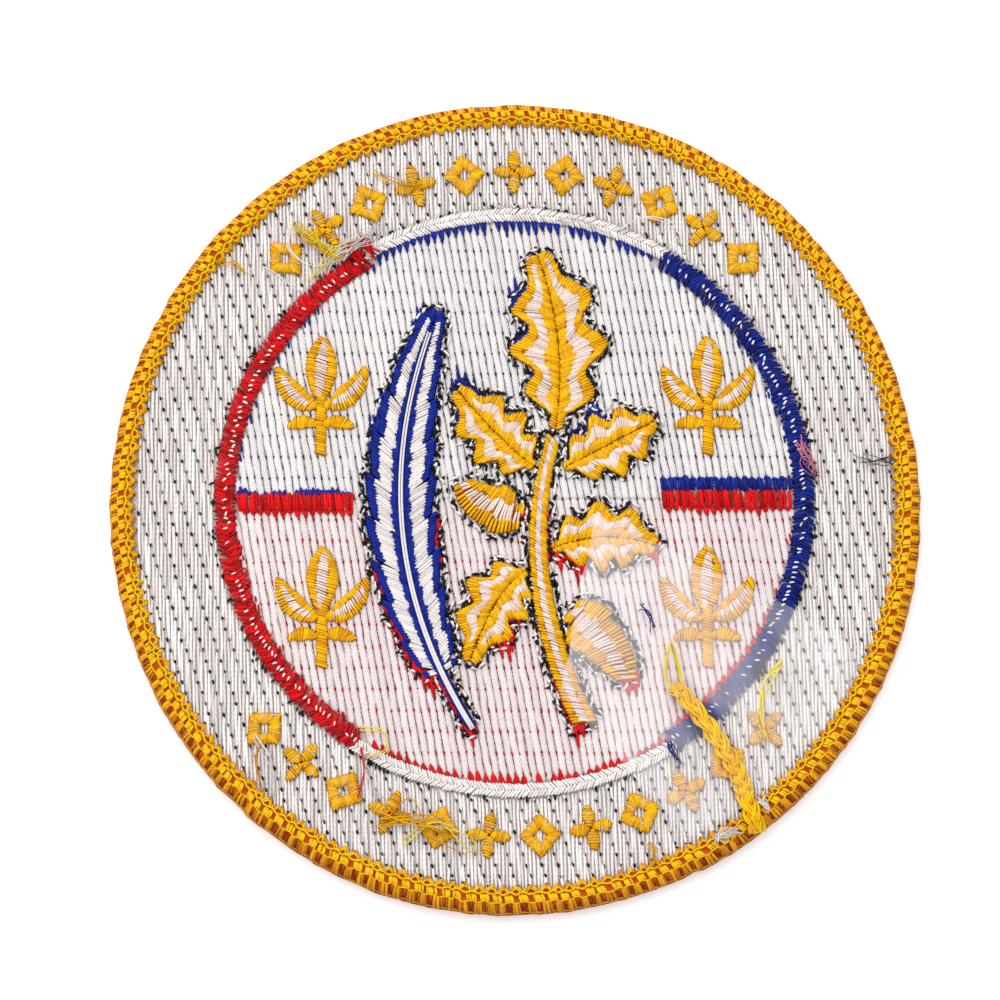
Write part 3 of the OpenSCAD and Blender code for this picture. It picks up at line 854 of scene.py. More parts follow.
def build_white_arc(name, middle_angle, half_angle, seed):
    """A white arc of the ring: two rows of fine stitches that slant against each other."""
    rng = np.random.default_rng(seed)
    threads = Threads()
    count = round(2 * half_angle * RING_RO / WHITE_ARC_PITCH)
    angle = middle_angle + half_angle * np.linspace(-1, 1, count)
    low = CLOTH_TOP + 0.35
    crest = RING_TOP - 0.16
    rows = ((RING_RO + 0.1, RING_RO - 0.68, -0.34), (RING_RO - 0.52, RING_RO - WHITE_W + 0.1, 0.34))
    for outer_r, inner_r, slant in rows:
        height = crest + rng.uniform(-0.06, 0.05, count)
        a = polar(outer_r + rng.uniform(-0.1, 0.12, count), angle + slant / RING_RO)
        b = polar(inner_r + rng.uniform(-0.12, 0.1, count), angle - slant / RING_RO)
        size = 0.14 * rng.uniform(0.85, 1.15, (count, 1)) * np.array([0.7, 1, 1, 1, 0.7])
        threads.add(arcs(a, b, low, height, low), size, tone=rng.uniform(0.7, 1.1, count))
    # A flat bed under both rows, at a low tone: painted shade in the gaps between the stitches
    bed = polar(RING_RO - 0.05, angle), polar(RING_RO - WHITE_W + 0.15, angle)
    threads.add(arcs(*bed, low - 0.1, crest - 0.22, low - 0.1, 3), 0.26, 0.35, tone=0.25)
    threads.in_colour(f"{name}_threads", "white", name)


def build_ring():
    """The ring in four arcs, with the white loops of the coloured ones as one piece."""
    knots = Threads()
    sweep = math.pi - TOP_HALF_ANGLE - BOTTOM_HALF_ANGLE
    build_ring_arc("red", math.pi / 2 + TOP_HALF_ANGLE, sweep, 21, knots)
    build_ring_arc("blue", -math.pi / 2 + BOTTOM_HALF_ANGLE, sweep, 22, knots)
    knots.in_colour("ring_bobbin_loops", "white")
    build_white_arc("ring_white_top", math.pi / 2, TOP_HALF_ANGLE, 23)
    build_white_arc("ring_white_bottom", -math.pi / 2, BOTTOM_HALF_ANGLE, 24)


def build_ring_edges():
    """Black dashes beside the ring, and blue and red teeth that hang from its white arcs into the fields."""
    rng = np.random.default_rng(31)
    black, blue, red = Threads(), Threads(), Threads()
    count = 120
    angle = rng.uniform(0, 2 * math.pi, count)
    place = polar(RING_RO + rng.uniform(0.1, 0.35, count), angle)
    lean = np.where(rng.uniform(size=count) < 0.5, angle + rng.normal(0, 0.4, count), math.pi / 2)
    half = polar(rng.uniform(0.12, 0.4, count), lean)
    black.add(dash(place, half, FILL_TOP - 0.1, FILL_TOP + 0.08, 4),
              rng.uniform(0.11, 0.2, (count, 1)) * np.array([0.6, 1, 1, 0.6]),
              tone=rng.uniform(0, 0.3, count))
    white_edge = RING_RO - WHITE_W + 0.2
    # Thread, way, first and last angle, least and most length, and the radius that they hang from
    strips = ((blue, -1, 60, 119, 1.2, 2.0, white_edge), (red, 1, 240, 303, 0.8, 1.6, white_edge),
              (red, 1, 304, 334, 0.8, 1.4, RING_RI + 0.1))
    for threads, way, first, last, least, most, edge_r in strips:
        feet, lengths = [], []
        for k in range(-40, 40):
            x0 = (k + 0.5) * FIELD_PITCH
            ends = groove_ends(x0, edge_r)
            if ends is None:
                continue
            y = ends[1] if way < 0 else ends[0]
            x = x0 - y * FIELD_SLOPE
            where = math.degrees(math.atan2(y, x)) % 360
            if not first < where < last or rng.uniform() < 0.06:
                continue
            fade = 1 - 0.35 * abs(2 * (where - first) / (last - first) - 1)
            feet.append((x, y))
            lengths.append(rng.uniform(least, most) * fade)
        lay_teeth(threads, feet, lengths, way, rng, 0.24)
    for threads, first, last in ((blue, 118, 172), (blue, 8, 60), (red, 188, 238), (red, 305, 352)):
        spots = 12
        where = np.radians(rng.uniform(first, last, spots))
        spot = polar(RING_RI - rng.uniform(0.1, 0.3, spots), where)
        half = np.array([-FIELD_SLOPE, 1]) * rng.uniform(0.25, 0.6, (spots, 1))
        threads.add(dash(spot, half, FILL_TOP - 0.1, FILL_TOP + 0.08, 4),
                    0.13 * np.array([0.6, 1, 1, 0.6]), tone=rng.uniform(0.2, 0.8, spots))
    black.in_colour("ring_black_dashes", "black")
    blue.in_colour("ring_blue_teeth", "blue")
    red.in_colour("ring_red_teeth", "red")


def build_stripes():
    """Dividing line at both sides of the figure: short upright satin, with teeth along the grooves."""
    rng = np.random.default_rng(41)
    # Node, colour, and the teeth at its upper and its lower edge: way, least and most length
    rows = (
        ("stripe_left", "red", (0, 0.0, 0.0), (-1, 0.35, 0.95)),
        ("stripe_right_red", "red", (0, 0.0, 0.0), (-1, 0.4, 1.0)),
        ("stripe_right_blue", "blue", (1, 0.2, 0.65), (0, 0.0, 0.0)),
    )
    fringe = Threads()
    for node, colour, *edges in rows:
        threads = Threads()
        low, high = box_mm(node)
        count = round((high[0] - low[0]) / STRIPE_PITCH)
        x = blend(low[0], high[0], (np.arange(count) + 0.5) / count)
        lean = rng.normal(0, 0.1, (2, count))
        top = np.stack([x - 0.07 + lean[0], high[1] + rng.uniform(-0.15, 0.25, count)], -1)
        foot = np.stack([x + 0.09 + lean[1], low[1] - rng.uniform(-0.15, 0.2, count)], -1)
        crest = SATIN_TOP - 0.2 + rng.uniform(-0.08, 0.03, count)
        size = 0.172 * rng.uniform(0.8, 1.2, (count, 1)) * np.array([0.7, 1, 1, 1, 0.65])
        threads.add(arcs(top, foot, FILL_TOP + 0.02, crest, FILL_TOP + 0.02), size,
                    tone=rng.uniform(0.2, 1.1, count))
        grooves = (np.arange(-40, 40) + 0.5) * FIELD_PITCH
        grooves = grooves[(grooves > low[0] + 0.2) & (grooves < high[0] - 0.2)]
        for (way, least, most), y in zip(edges, (high[1] - 0.1, low[1] + 0.1)):
            if way:
                feet = np.stack([grooves - y * FIELD_SLOPE, np.full(len(grooves), y)], -1)
                lay_teeth(threads, feet, rng.uniform(least, most, len(grooves)), way, rng, 0.25)
        if node == "stripe_left":
            place = np.arange(low[0] + 0.2, high[0] - 0.1, STRIPE_PITCH)
            thick = np.sin(0.62 * place + 2.4) > 0.25
            kept = thick | (rng.uniform(size=len(place)) < 0.35)
            feet = np.stack([place, np.full(len(place), high[1] - 0.1)], -1)
            lengths = rng.uniform(0.3, 0.65, len(place)) + 0.25 * thick
            lay_teeth(fringe, feet[kept], lengths[kept], 1, rng, 0.12)
            fringe.in_colour("stripe_left_blue_fringe", "blue")
        threads.in_colour(f"{node}_threads", colour, node)


def build_figure():
    """Oak leaves, acorns and stem in gold satin, and the feather in blue and white."""
    rng = np.random.default_rng(51)
    white = Threads()
    for node, (p, half, width, slant, columns) in figure_shapes().items():
        gold = Threads()
        satin_leaf(gold, white, p, half, width, rng, slant, columns)
        gold.in_colour(f"{node}_satin", "gold", node)
    white.in_colour("figure_bobbin_threads", "cream")

    blue, bobbin = Threads(), Threads()
    p, half, width = FEATHER_SHAPE
    satin_leaf(blue, bobbin, p, half, width, rng, 0.8, columns=2, share=0.28)
    for side in (-0.14, 0.14):
        quill = beside(p, np.linspace(0.0, 0.95, 40), np.full(40, side))
        path = np.concatenate([quill, np.full((40, 1), SATIN_TOP + 0.06)], -1)[None]
        bobbin.add(path, 0.16 * np.linspace(1, 0.6, 40), tone=0.8)
    blue.in_colour("feather_satin", "blue", "feather")
    bobbin.in_colour("feather_bobbin_threads", "white")


def build_sprigs():
    rng = np.random.default_rng(52)
    white = Threads()
    for i in range(1, 5):
        gold = Threads()
        centre = middle(f"sprig_{i}")
        for leaf in SPRIG_LEAVES:
            p = np.array(leaf[:3], float) * SPRIG_H + centre
            satin_leaf(gold, white, p, leaf[3] * SPRIG_H, leaf_width, rng, 0.25, share=0.32,
                       pitch=SPRIG_PITCH)
        p = np.array(SPRIG_STEM, float) * SPRIG_H + centre
        satin_leaf(gold, None, p, SPRIG_STEM_HALF * SPRIG_H, even_width, rng, 0.3, pitch=SPRIG_PITCH)
        gold.in_colour(f"sprig_{i}_satin", "gold", f"sprig_{i}")
    white.in_colour("sprig_bobbin_threads", "cream")


def turned(points, centre, angle):
    """Points drawn upright about the origin, turned and set at a centre."""
    c, s = math.cos(angle), math.sin(angle)
    return np.asarray(points, float) @ np.array([[c, s], [-s, c]]) + centre


def build_ornaments():
    """Open lozenges and four-petal flowers in the band, in gold satin with a few white loops."""
    rng = np.random.default_rng(53)
    white = Threads()
    names = sorted(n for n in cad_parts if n.startswith(("top_ornament_", "bottom_ornament_")))
    for name in names:
        gold = Threads()
        centre = middle(name)
        below = name.startswith("bottom")
        angle = math.atan2(centre[1], centre[0]) + (math.pi / 2 if below else -math.pi / 2)
        lozenge = int(name.rsplit("_", 1)[1]) % 2 == 1
        if lozenge:
            corners = np.array([[1, 0], [0, 1], [-1, 0], [0, -1]]) * [ORNAMENT_W / 2, ORNAMENT_H / 2]
            reach = ORNAMENT_W * ORNAMENT_H / (2 * math.hypot(ORNAMENT_W, ORNAMENT_H))
            inner = corners * (reach - LOZENGE_STROKE) / reach
            for j in range(4):
                a, b = corners[j], corners[(j + 1) % 4]
                c, d = inner[j], inner[(j + 1) % 4]
                count = round(np.linalg.norm(b - a) / SATIN_PITCH)
                t = (np.arange(count) + 0.5) / count
                left = turned(blend(a, b, t[:, None]), centre, angle)
                right = turned(blend(c, d, t[:, None]), centre, angle)
                satin_rows(gold, None, left, right, rng, radius=0.18)
        else:
            foot = PETAL_HALF / 3
            for turn in range(4):
                reach = ORNAMENT_W / 2 if turn % 2 == 0 else ORNAMENT_H / 2
                line = np.array([[foot, 0], [(foot + reach) / 2, 0], [reach, 0]])
                p = turned(line, centre, angle + turn * math.pi / 2)
                satin_leaf(gold, None, p, PETAL_HALF, leaf_width, rng, 0.2, pitch=PETAL_PITCH)
        loops = 22
        side = rng.integers(0, 4, loops)
        share = rng.uniform(0.1, 0.9, (loops, 1))
        if lozenge:
            rim = blend(corners[side], corners[(side + 1) % 4], share)
            hollow = blend(inner[side], inner[(side + 1) % 4], share)
            spot = blend(rim, hollow, rng.uniform(0.15, 0.85, (loops, 1)))
            heading = unit(rim - hollow)
        else:
            axis = polar(1.0, side * math.pi / 2)
            heading = left_of(axis)
            spot = axis * (0.4 + 1.7 * share) + heading * rng.uniform(-0.4, 0.4, (loops, 1))
        half = turned(heading * rng.uniform(0.12, 0.28, (loops, 1)), 0.0, angle)
        spot = turned(spot, centre, angle)
        white.add(dash(spot, half, SATIN_TOP - 0.22, SATIN_TOP + 0.01),
                  0.066 * np.array([0.6, 1.1, 0.6]), tone=rng.uniform(0.3, 1, loops))
        gold.in_colour(f"{name}_satin", "gold", name)
    white.in_colour("ornament_bobbin_loops", "cream")


def main_outlines():
    shapes = [outline_of(p, half, width) for p, half, width, _, _ in figure_shapes().values()]
    return shapes + [outline_of(*FEATHER_SHAPE)]


def build_outline():
    """Running stitches round the main figure: black knots and dashes, with white strands between them."""
    rng = np.random.default_rng(61)
    black, white = Threads(), Threads()
    shapes = main_outlines()
    knot_step = 5.5
    # Thread, spacing, distance from the edge, share that is kept, half lengths, radii, and swing
    rows = (
        (black, 0.62, 0.34, 0.9, (0.2, 0.45), (0.14, 0.22), 0.6),
        (white, 1.2, 0.62, 0.8, (0.4, 0.65), (0.12, 0.165), 0.3),
        (white, 1.5, 0.4, 0.5, (0.3, 0.5), (0.1, 0.14), 0.4),
        (black, 1.15, 0.72, 0.8, (0.15, 0.35), (0.13, 0.2), 1.2),
    )
    for shape in shapes:
        closed = np.concatenate([shape, shape[:1]])
        run = run_along(closed)
        at_run = lambda d: np.stack([np.interp(d % run[-1], run, closed[:, j]) for j in (0, 1)], -1)
        for threads, step, away, share, reach, size, swing in rows:
            count = round(run[-1] / step)
            at = (np.arange(count) + rng.uniform(-0.3, 0.3, count)) * run[-1] / count
            along = unit(at_run(at + 0.3) - at_run(at - 0.3))
            place = at_run(at) + left_of(along) * (away + rng.uniform(-0.15, 0.2, (count, 1)))
            # Here and there the stitches crowd into a knot
            knot = np.round(at / knot_step) * knot_step
            crowd = at_run(knot) + left_of(along) * 0.7
            crowded = (np.abs(at - knot) < 1.1) & (rng.uniform(size=count) < 0.6)
            place = np.where(crowded[:, None], blend(place, crowd, 0.5), place)
            kept = rng.uniform(size=count) < share
            for other in shapes:
                kept &= ~inside(other, place)
            way = np.arctan2(along[:, 1], along[:, 0])
            half = polar(rng.uniform(*reach, count), way + rng.normal(0, swing, count))
            top = FILL_TOP + 0.22 + rng.uniform(-0.05, 0.1, count)
            threads.add(dash(place, half, top - 0.26, top)[kept],
                        rng.uniform(*size, (count, 1))[kept] * np.array([0.75, 1.1, 0.75]),
                        tone=np.where(threads is black, 0.1, 0.9) + rng.uniform(-0.1, 0.15, count)[kept])
    black.in_colour("outline_black_stitches", "black")
    white.in_colour("outline_white_stitches", "white")


def build_patches():
    """Teeth of the face's blue and red thread, that stand out from the main figure along the grooves."""
    rng = np.random.default_rng(62)
    shapes = main_outlines()
    blue, red = Threads(), Threads()
    heights = np.arange(-27, 29, 0.1)
    for k in range(-48, 48):
        x0 = (k + 1) * FIELD_PITCH / 2
        share = 1.0 if k % 2 == 0 else 0.6
        line = np.stack([x0 - heights * FIELD_SLOPE, heights], -1)
        covered = np.any([inside(shape, line) for shape in shapes], axis=0)
        for i in np.flatnonzero(covered[1:] != covered[:-1]):
            way = 1 if covered[i] else -1
            y = heights[i]
            if way * y < 1.5:
                continue
            length = 2.4 * math.sin(0.22 * k + 0.23 * y + 1) + rng.uniform(-0.4, 0.6)
            if length < 0.5:
                continue
            foot = [(x0 - y * FIELD_SLOPE, y - 0.4 * way)]
            lay_teeth(blue if way > 0 else red, foot, [length * share + 0.4], way, rng, 0.2)
    blue.in_colour("blue_patches", "blue")
    red.in_colour("red_patches", "red")


# Section of the border from its inner foot over the top to the outer foot: inset from the edge, height
BORDER_SECTION = np.array([
    [2.92, FILL_TOP - 0.06], [2.6, FILL_TOP + 0.1], [2.2, 2.5], [1.6, 2.62], [1.1, 2.64],
    [0.6, 2.48], [0.24, 2.05], [0.06, 1.45], [0.1, 0.75], [0.42, 0.3],
])
# The border's core: inset and height, how far it stands back between recesses and sinks at them,
# and its shade between them and at them, painted shade that darkens the recesses and the pockets between the
# wraps
BORDER_CORE = np.array([
    [2.5, 2.06, 0.3, 0.0, 0.8, 0.6], [2.12, 2.34, 0.0, 0.12, 0.8, 0.3], [1.76, 2.48, 0.0, 0.0, 0.45, 0.3],
    [1.5, 2.53, 0.0, 0.14, 0.7, 0.0], [1.2, 2.53, 0.0, 0.14, 0.7, 0.0], [0.92, 2.46, 0.0, 0.0, 0.5, 0.5],
    [0.5, 2.18, 0.0, 0.0, 0.05, 0.9], [0.25, 1.6, 0.0, 0.0, 0.2, 0.8], [0.28, 0.8, 0.0, 0.0, 0.6, 0.6],
    [0.7, 0.3, 0.0, 0.0, 0.6, 0.6], [2.2, 0.2, 0.0, 0.0, 0.6, 0.6], [2.62, 0.66, 0.0, 0.0, 0.6, 0.6],
    [2.62, 0.86, 0.0, 0.0, 0.6, 0.6], [1.5, 0.86, 0.0, 0.0, 0.6, 0.6], [1.5, 1.94, 0.0, 0.0, 0.6, 0.6],
    [2.5, 1.94, 0.3, 0.0, 0.6, 0.6],
])
# Uneven sewing at each repeat: turns along the border, and millimetres across it
BORDER_DRIFT = np.random.default_rng(70).normal(0, 1, (2, BORDER_REPEATS)) * [[0.13], [0.055]]


def drifted(turn, inset):
    """Share of the way round and inset, as unevenly sewn; the outer wall bulges, most at the near side."""
    place = np.arange(BORDER_REPEATS + 1)
    shift, across = [np.interp(turn % BORDER_REPEATS, place, np.append(row, row[0])) for row in BORDER_DRIFT]
    share = (turn + shift) / BORDER_REPEATS
    angle = 2 * math.pi * (share - 0.125) - 0.28
    near = np.maximum(0, -np.sin(angle))
    bulge = 0.2 * near * (1 + 2.4 * np.abs(np.cos(angle))) * np.clip(1.3 - inset, 0, 1)
    return share, inset + across - 0.12 * near - bulge


def section_at(run):
    """Inset, height and the way out at a distance along the border's section from its inner foot."""
    lengths = run_along(BORDER_SECTION)
    at_run = lambda d: np.stack([np.interp(d, lengths, column) for column in BORDER_SECTION.T], -1)
    step = 0.05
    along = unit(at_run(run + step) - at_run(run - step) + 1e-6)
    return at_run(run), np.stack([along[..., 1], -along[..., 0]], -1)


def on_border(turn, run, lift):
    """Points on the border and the way out there: turn counts repeats, run goes from the inner foot out."""
    at, out = section_at(run)
    at = at + np.asarray(lift)[..., None] * out
    plan, away = round_oval(*drifted(turn, at[..., 0]))
    up = np.concatenate([-away * out[..., :1], out[..., 1:]], -1)
    return np.concatenate([plan, at[..., 1:]], -1), up


def border_strand(shape, first, jitter, rng):
    """One strand of each repeat of the border. shape: turns, distance along the section, and lift."""
    shape = np.asarray(shape, float)
    turn = first + np.arange(BORDER_REPEATS)[:, None] + shape[None, :, 0]
    turn = turn + rng.normal(0, jitter, (BORDER_REPEATS, 1))
    run = shape[None, :, 1] + rng.normal(0, jitter, (BORDER_REPEATS, 1))
    return turn, np.broadcast_to(run, turn.shape), np.broadcast_to(shape[None, :, 2], turn.shape)


def build_border():
    """Overlocked border: a core, wraps on the outer wall, a chain round recesses on top, shells inwards."""
    rng = np.random.default_rng(71)
    core = Threads()
    fine = 6
    steps, corners = BORDER_REPEATS * fine, len(BORDER_CORE)
    turn = np.arange(steps) / fine
    swing = np.cos(2 * math.pi * turn)
    at_blob, at_recess = np.maximum(0, swing), np.maximum(0, -swing) ** 0.5
    co, tones = [], []
    for inset, z, back, sink, shade, painted_recess_shade in BORDER_CORE:
        plan, _ = round_oval(*drifted(turn, inset - back * at_blob))
        co.append(np.concatenate([plan, (z - sink * at_recess)[:, None]], -1))
        # Painted shade: the core's tone darkens in the recesses and in the pockets between the wraps
        tones.append(blend(shade, painted_recess_shade, at_recess))
    i, j = np.meshgrid(np.arange(steps), np.arange(corners), indexing="ij")
    here, across = i * corners + j, i * corners + (j + 1) % corners
    ahead = (i + 1) % steps * corners
    faces = np.stack([here, across, ahead + (j + 1) % corners, ahead + j], -1).reshape(-1, 4)
    core.add_mesh(np.stack(co, 1).reshape(-1, 3), faces, np.stack(tones, 1).reshape(-1))
    core.piece("border_core", core_material(), "gold_thread")

    threads, wraps, specks = Threads(), Threads(), Threads()

    def lay(into, shape, first, radius, tone, jitter=0.045, fade=0.0):
        turn, run, lift = border_strand(shape, first, jitter, rng)
        paths, up = on_border(turn, run, lift + rng.normal(0, 0.02, (BORDER_REPEATS, 1)))
        size = radius * rng.uniform(0.82, 1.18, (BORDER_REPEATS, 1))
        size = size * rng.uniform(0.92, 1.08, paths.shape[:2])
        # Painted shade, as strong as fade: darker down the strand and more at the near side of the patch,
        # where less light falls
        near = np.maximum(0, -np.sin(2 * math.pi * (turn / BORDER_REPEATS - 0.125)))
        depth = np.linspace(0, 1, paths.shape[1]) ** 2
        shade = rng.uniform(tone[0], tone[1], (BORDER_REPEATS, 1)) - fade * (depth + 0.35 * near)
        into.add(paths, size, 0.85, up, shade)

    def lay_line(into, run, swell, radius, lift, tone, fine):
        """A line along the whole border that swings by swell at every repeat."""
        turn = np.arange(BORDER_REPEATS * fine + 1) / fine
        along = run - swell * np.cos(2 * math.pi * turn) + rng.normal(0, 0.025, len(turn))
        path, up = on_border(turn[None], along[None], lift + rng.normal(0, 0.02, (1, len(turn))))
        size = radius * rng.uniform(0.8, 1.15, (1, len(turn)))
        # Its shade swings at each repeat, darker at the recesses: painted shade
        shade = tone + 0.12 * np.cos(2 * math.pi * turn) + rng.uniform(-0.2, 0.1, len(turn))
        into.add(path, size, 1.0, up, shade[None])

    # Wraps over the outer wall, that gather beside each recess and leave a pocket between, darkened with
    # painted shade
    wrap_rows = (
        (-0.42, -0.09, (0.2, 0.75), 1.0), (-0.21, 0.0, (0.7, 1.2), 0.9), (0.0, 0.02, (0.85, 1.3), 0.9),
        (0.21, 0.0, (0.7, 1.2), 0.9), (0.42, -0.09, (0.2, 0.75), 1.0),
    )
    for spread, height, tone, fade in wrap_rows:
        wrap = [[0.5 + 0.7 * spread, 2.04, height - 0.04], [0.52 + 0.78 * spread, 2.36, height + 0.04],
                [0.58 + 0.9 * spread, 2.95, height + 0.02], [0.62 + spread, 3.85, 0.0],
                [0.65 + spread, 4.75, -0.05]]
        lay(wraps, wrap, 0.0, 0.16, tone, 0.05, fade)
    # Slanted strands between the recesses
    for first in (-0.27, -0.14, -0.01, 0.12, 0.25):
        lay(threads, [[-0.08, 1.34, -0.05], [-0.03, 1.53, 0.11], [0.03, 1.8, 0.12], [0.08, 2.02, 0.0]], first,
            0.125, (0.7, 1.25), 0.03)
    # Lines at both sides of the chain, and along the rim
    lay_line(threads, 2.03, 0.08, 0.088, 0.07, 0.95, 7)
    lay_line(threads, 1.18, 0.12, 0.12, 0.08, 1.0, 8)
    # The rim lines darken further down the outer wall: painted shade
    for run, tone in ((3.3, 0.6), (3.85, 0.25), (4.4, 0.05)):
        lay_line(wraps, run, 0.12, 0.12, 0.03, tone, 3)
    # Shells on the inner side: an arc round a hole, and strands that gather in a tip
    arch = [[0.2, 1.12, 0.0], [0.25, 0.9, 0.06], [0.36, 0.71, 0.07], [0.5, 0.63, 0.07], [0.64, 0.71, 0.07],
            [0.75, 0.9, 0.06], [0.8, 1.12, 0.0]]
    lay(threads, arch, 0.0, 0.1, (0.6, 1.05), 0.02)
    lay(threads, [[-0.02, 1.06, 0.02], [0.0, 0.88, 0.03], [0.02, 0.66, -0.06]], 0.0, 0.14, (0.4, 0.95), 0.03)
    for hand in (-2, -1, 0, 1, 2):
        bend = abs(hand) ** 1.5 * 0.06
        shell = [[0.5 + 0.18 * hand, 0.78 + bend, -0.02], [0.5 + 0.14 * hand, 0.56 + bend, 0.05],
                 [0.5 + 0.085 * hand, 0.36 + bend, 0.04], [0.5 + 0.035 * hand, 0.1 + bend, -0.07]]
        lay(threads, shell, 0.0, 0.125, (0.15, 0.95))
    # Dark thread at some of the tips
    turn = np.arange(BORDER_REPEATS)[rng.uniform(size=BORDER_REPEATS) < 0.5] + 0.5
    turn = turn + rng.normal(0, 0.08, len(turn))
    tip, out = round_oval(*drifted(turn, 2.7 + rng.uniform(-0.05, 0.2, len(turn))))
    half = rng.uniform(0.08, 0.2, (len(turn), 1)) * unit(left_of(out) + rng.normal(0, 0.6, out.shape))
    specks.add(dash(tip, half, FILL_TOP - 0.1, FILL_TOP + 0.06),
               rng.uniform(0.08, 0.15, (len(turn), 1)) * np.array([0.7, 1.1, 0.7]),
               tone=rng.uniform(0.0, 0.4, len(turn)))
    threads.in_colour("border_threads", "border", "merrow_border")
    wraps.in_colour("border_wraps", "wrap")
    specks.in_colour("border_specks", "black")


def build_tail():
    """Chained end of the border's thread: three soft bundles from the outer edge over the border."""
    rng = np.random.default_rng(81)
    tail = Threads()
    points = 70
    twist_length = 5.6
    over_border = 0.3
    t = np.linspace(-over_border, 1, points)
    to_root = np.clip(-t / over_border, 0, 1)[:, None] * (TAIL_ROOT - TAIL_LINE[0])
    turns = length_of(TAIL_LINE) / twist_length
    width = 0.62 * (1 - 0.15 * t ** 3)
    shoulder = 1.2 * np.clip((-t - 0.2) / 0.1, 0, 1) ** 2
    on_edge = 0.5 * np.clip(-t / 0.2, 0, 1) - shoulder
    for bundle in range(3):
        phase = 2 * math.pi * (turns * t + bundle / 3)
        lift = FILM_Z + 0.42 + on_edge + 0.26 * np.sin(2 * phase + 0.4)
        for thread in range(5):
            turned = 2 * math.pi * (thread / 5 + 1.5 * t) + bundle
            aside = width * np.sin(phase) + 0.34 * np.cos(turned) + rng.normal(0, 0.02, points)
            plan = beside(TAIL_LINE, np.maximum(t, 0), aside) + to_root
            path = np.concatenate([plan, (lift + 0.12 * np.sin(turned))[:, None]], -1)
            tail.add(path[None], 0.15 * rng.uniform(0.9, 1.15), tone=rng.uniform(0.7, 1.3))
    frays = 22
    start = on_curve(TAIL_LINE, np.full(frays, 0.99)) + rng.uniform(-0.6, 0.6, (frays, 2))
    ends = start + np.stack([rng.uniform(-1.4, -0.4, frays), rng.uniform(0.4, 1.3, frays)], -1)
    bow = rng.uniform(-0.25, 0.25, frays)
    tail.add(arcs(start, ends, FILM_Z + 0.4, FILM_Z + 0.45, FILM_Z + 0.05, 6, bow),
             0.115 * np.array([1, 1, 0.9, 0.8, 0.6, 0.4]), tone=rng.uniform(0.7, 1.3, frays))
    tail.in_colour("border_tail_chain", "border", "border_tail")


def build_film():
    """Clear film over the tail: an uneven patch of film that bulges over the thread below it."""
    corners = np.array(FILM_CORNERS) * RING_RO
    limit = INNER_W + GAP + 0.5
    edge = []
    for a, b in zip(corners, np.roll(corners, -1, 0)):
        for share in np.linspace(0, 1, 16, endpoint=False):
            q = blend(a, b, share)
            wave = 0.25 * math.sin(7 * share * math.pi) * (1 - abs(2 * share - 1))
            q = q + wave * left_of(unit(b - a))
            edge.append(q * min(1.0, limit / np.linalg.norm(q)))
    edge = np.array(edge)
    centre = edge.mean(0)
    steps, rounds = len(edge), 20
    reach = (np.arange(rounds) + 1) / rounds
    plan = centre + (edge - centre)[None] * reach[:, None, None]
    spine = on_curve(TAIL_LINE, np.linspace(0, 1, 60))
    away = np.linalg.norm(plan[:, :, None] - spine, axis=-1).min(-1)
    x, y = plan[..., 0], plan[..., 1]
    ripple = 0.05 * np.sin(1.3 * x + 0.6 * y) * np.sin(0.9 * y - 0.4 * x) + 0.03 * np.sin(2.9 * x - 2.1 * y)
    z = FILM_Z + 0.06 + ripple + 0.86 * np.exp(-(away / 1.9) ** 2)
    top_centre = z[0].mean()
    top = np.concatenate([np.concatenate([plan, z[..., None]], -1).reshape(-1, 3), [[*centre, top_centre]]])
    film_t = 0.05
    co = np.concatenate([top - [0, 0, film_t], top])
    area = signed_area(edge)
    faces = slab_faces(rounds, steps)
    if area < 0:
        faces = faces[:, ::-1]
    clear = np.clip((away - 0.9) / 1.2, 0.25, 1.0).reshape(-1)
    film = Threads()
    film.add_mesh(co, faces, np.concatenate([np.zeros(len(top)), clear, [1.0]]))
    obj = film.piece("tail_film", film_material(), "clear_film", "tail_tape")


def spline(points, count):
    """A smooth line through the points."""
    points = np.asarray(points, float)
    padded = np.concatenate([2 * points[:1] - points[1:2], points, 2 * points[-1:] - points[-2:-1]])
    at = np.linspace(0, len(points) - 1 - 1e-6, count)
    i = at.astype(int)
    t = (at - i)[:, None]
    p0, p1, p2, p3 = padded[i], padded[i + 1], padded[i + 2], padded[i + 3]
    return 0.5 * (2 * p1 + (p2 - p0) * t + (2 * p0 - 5 * p1 + 4 * p2 - p3) * t ** 2
                  + (3 * p1 - p0 - 3 * p2 + p3) * t ** 3)


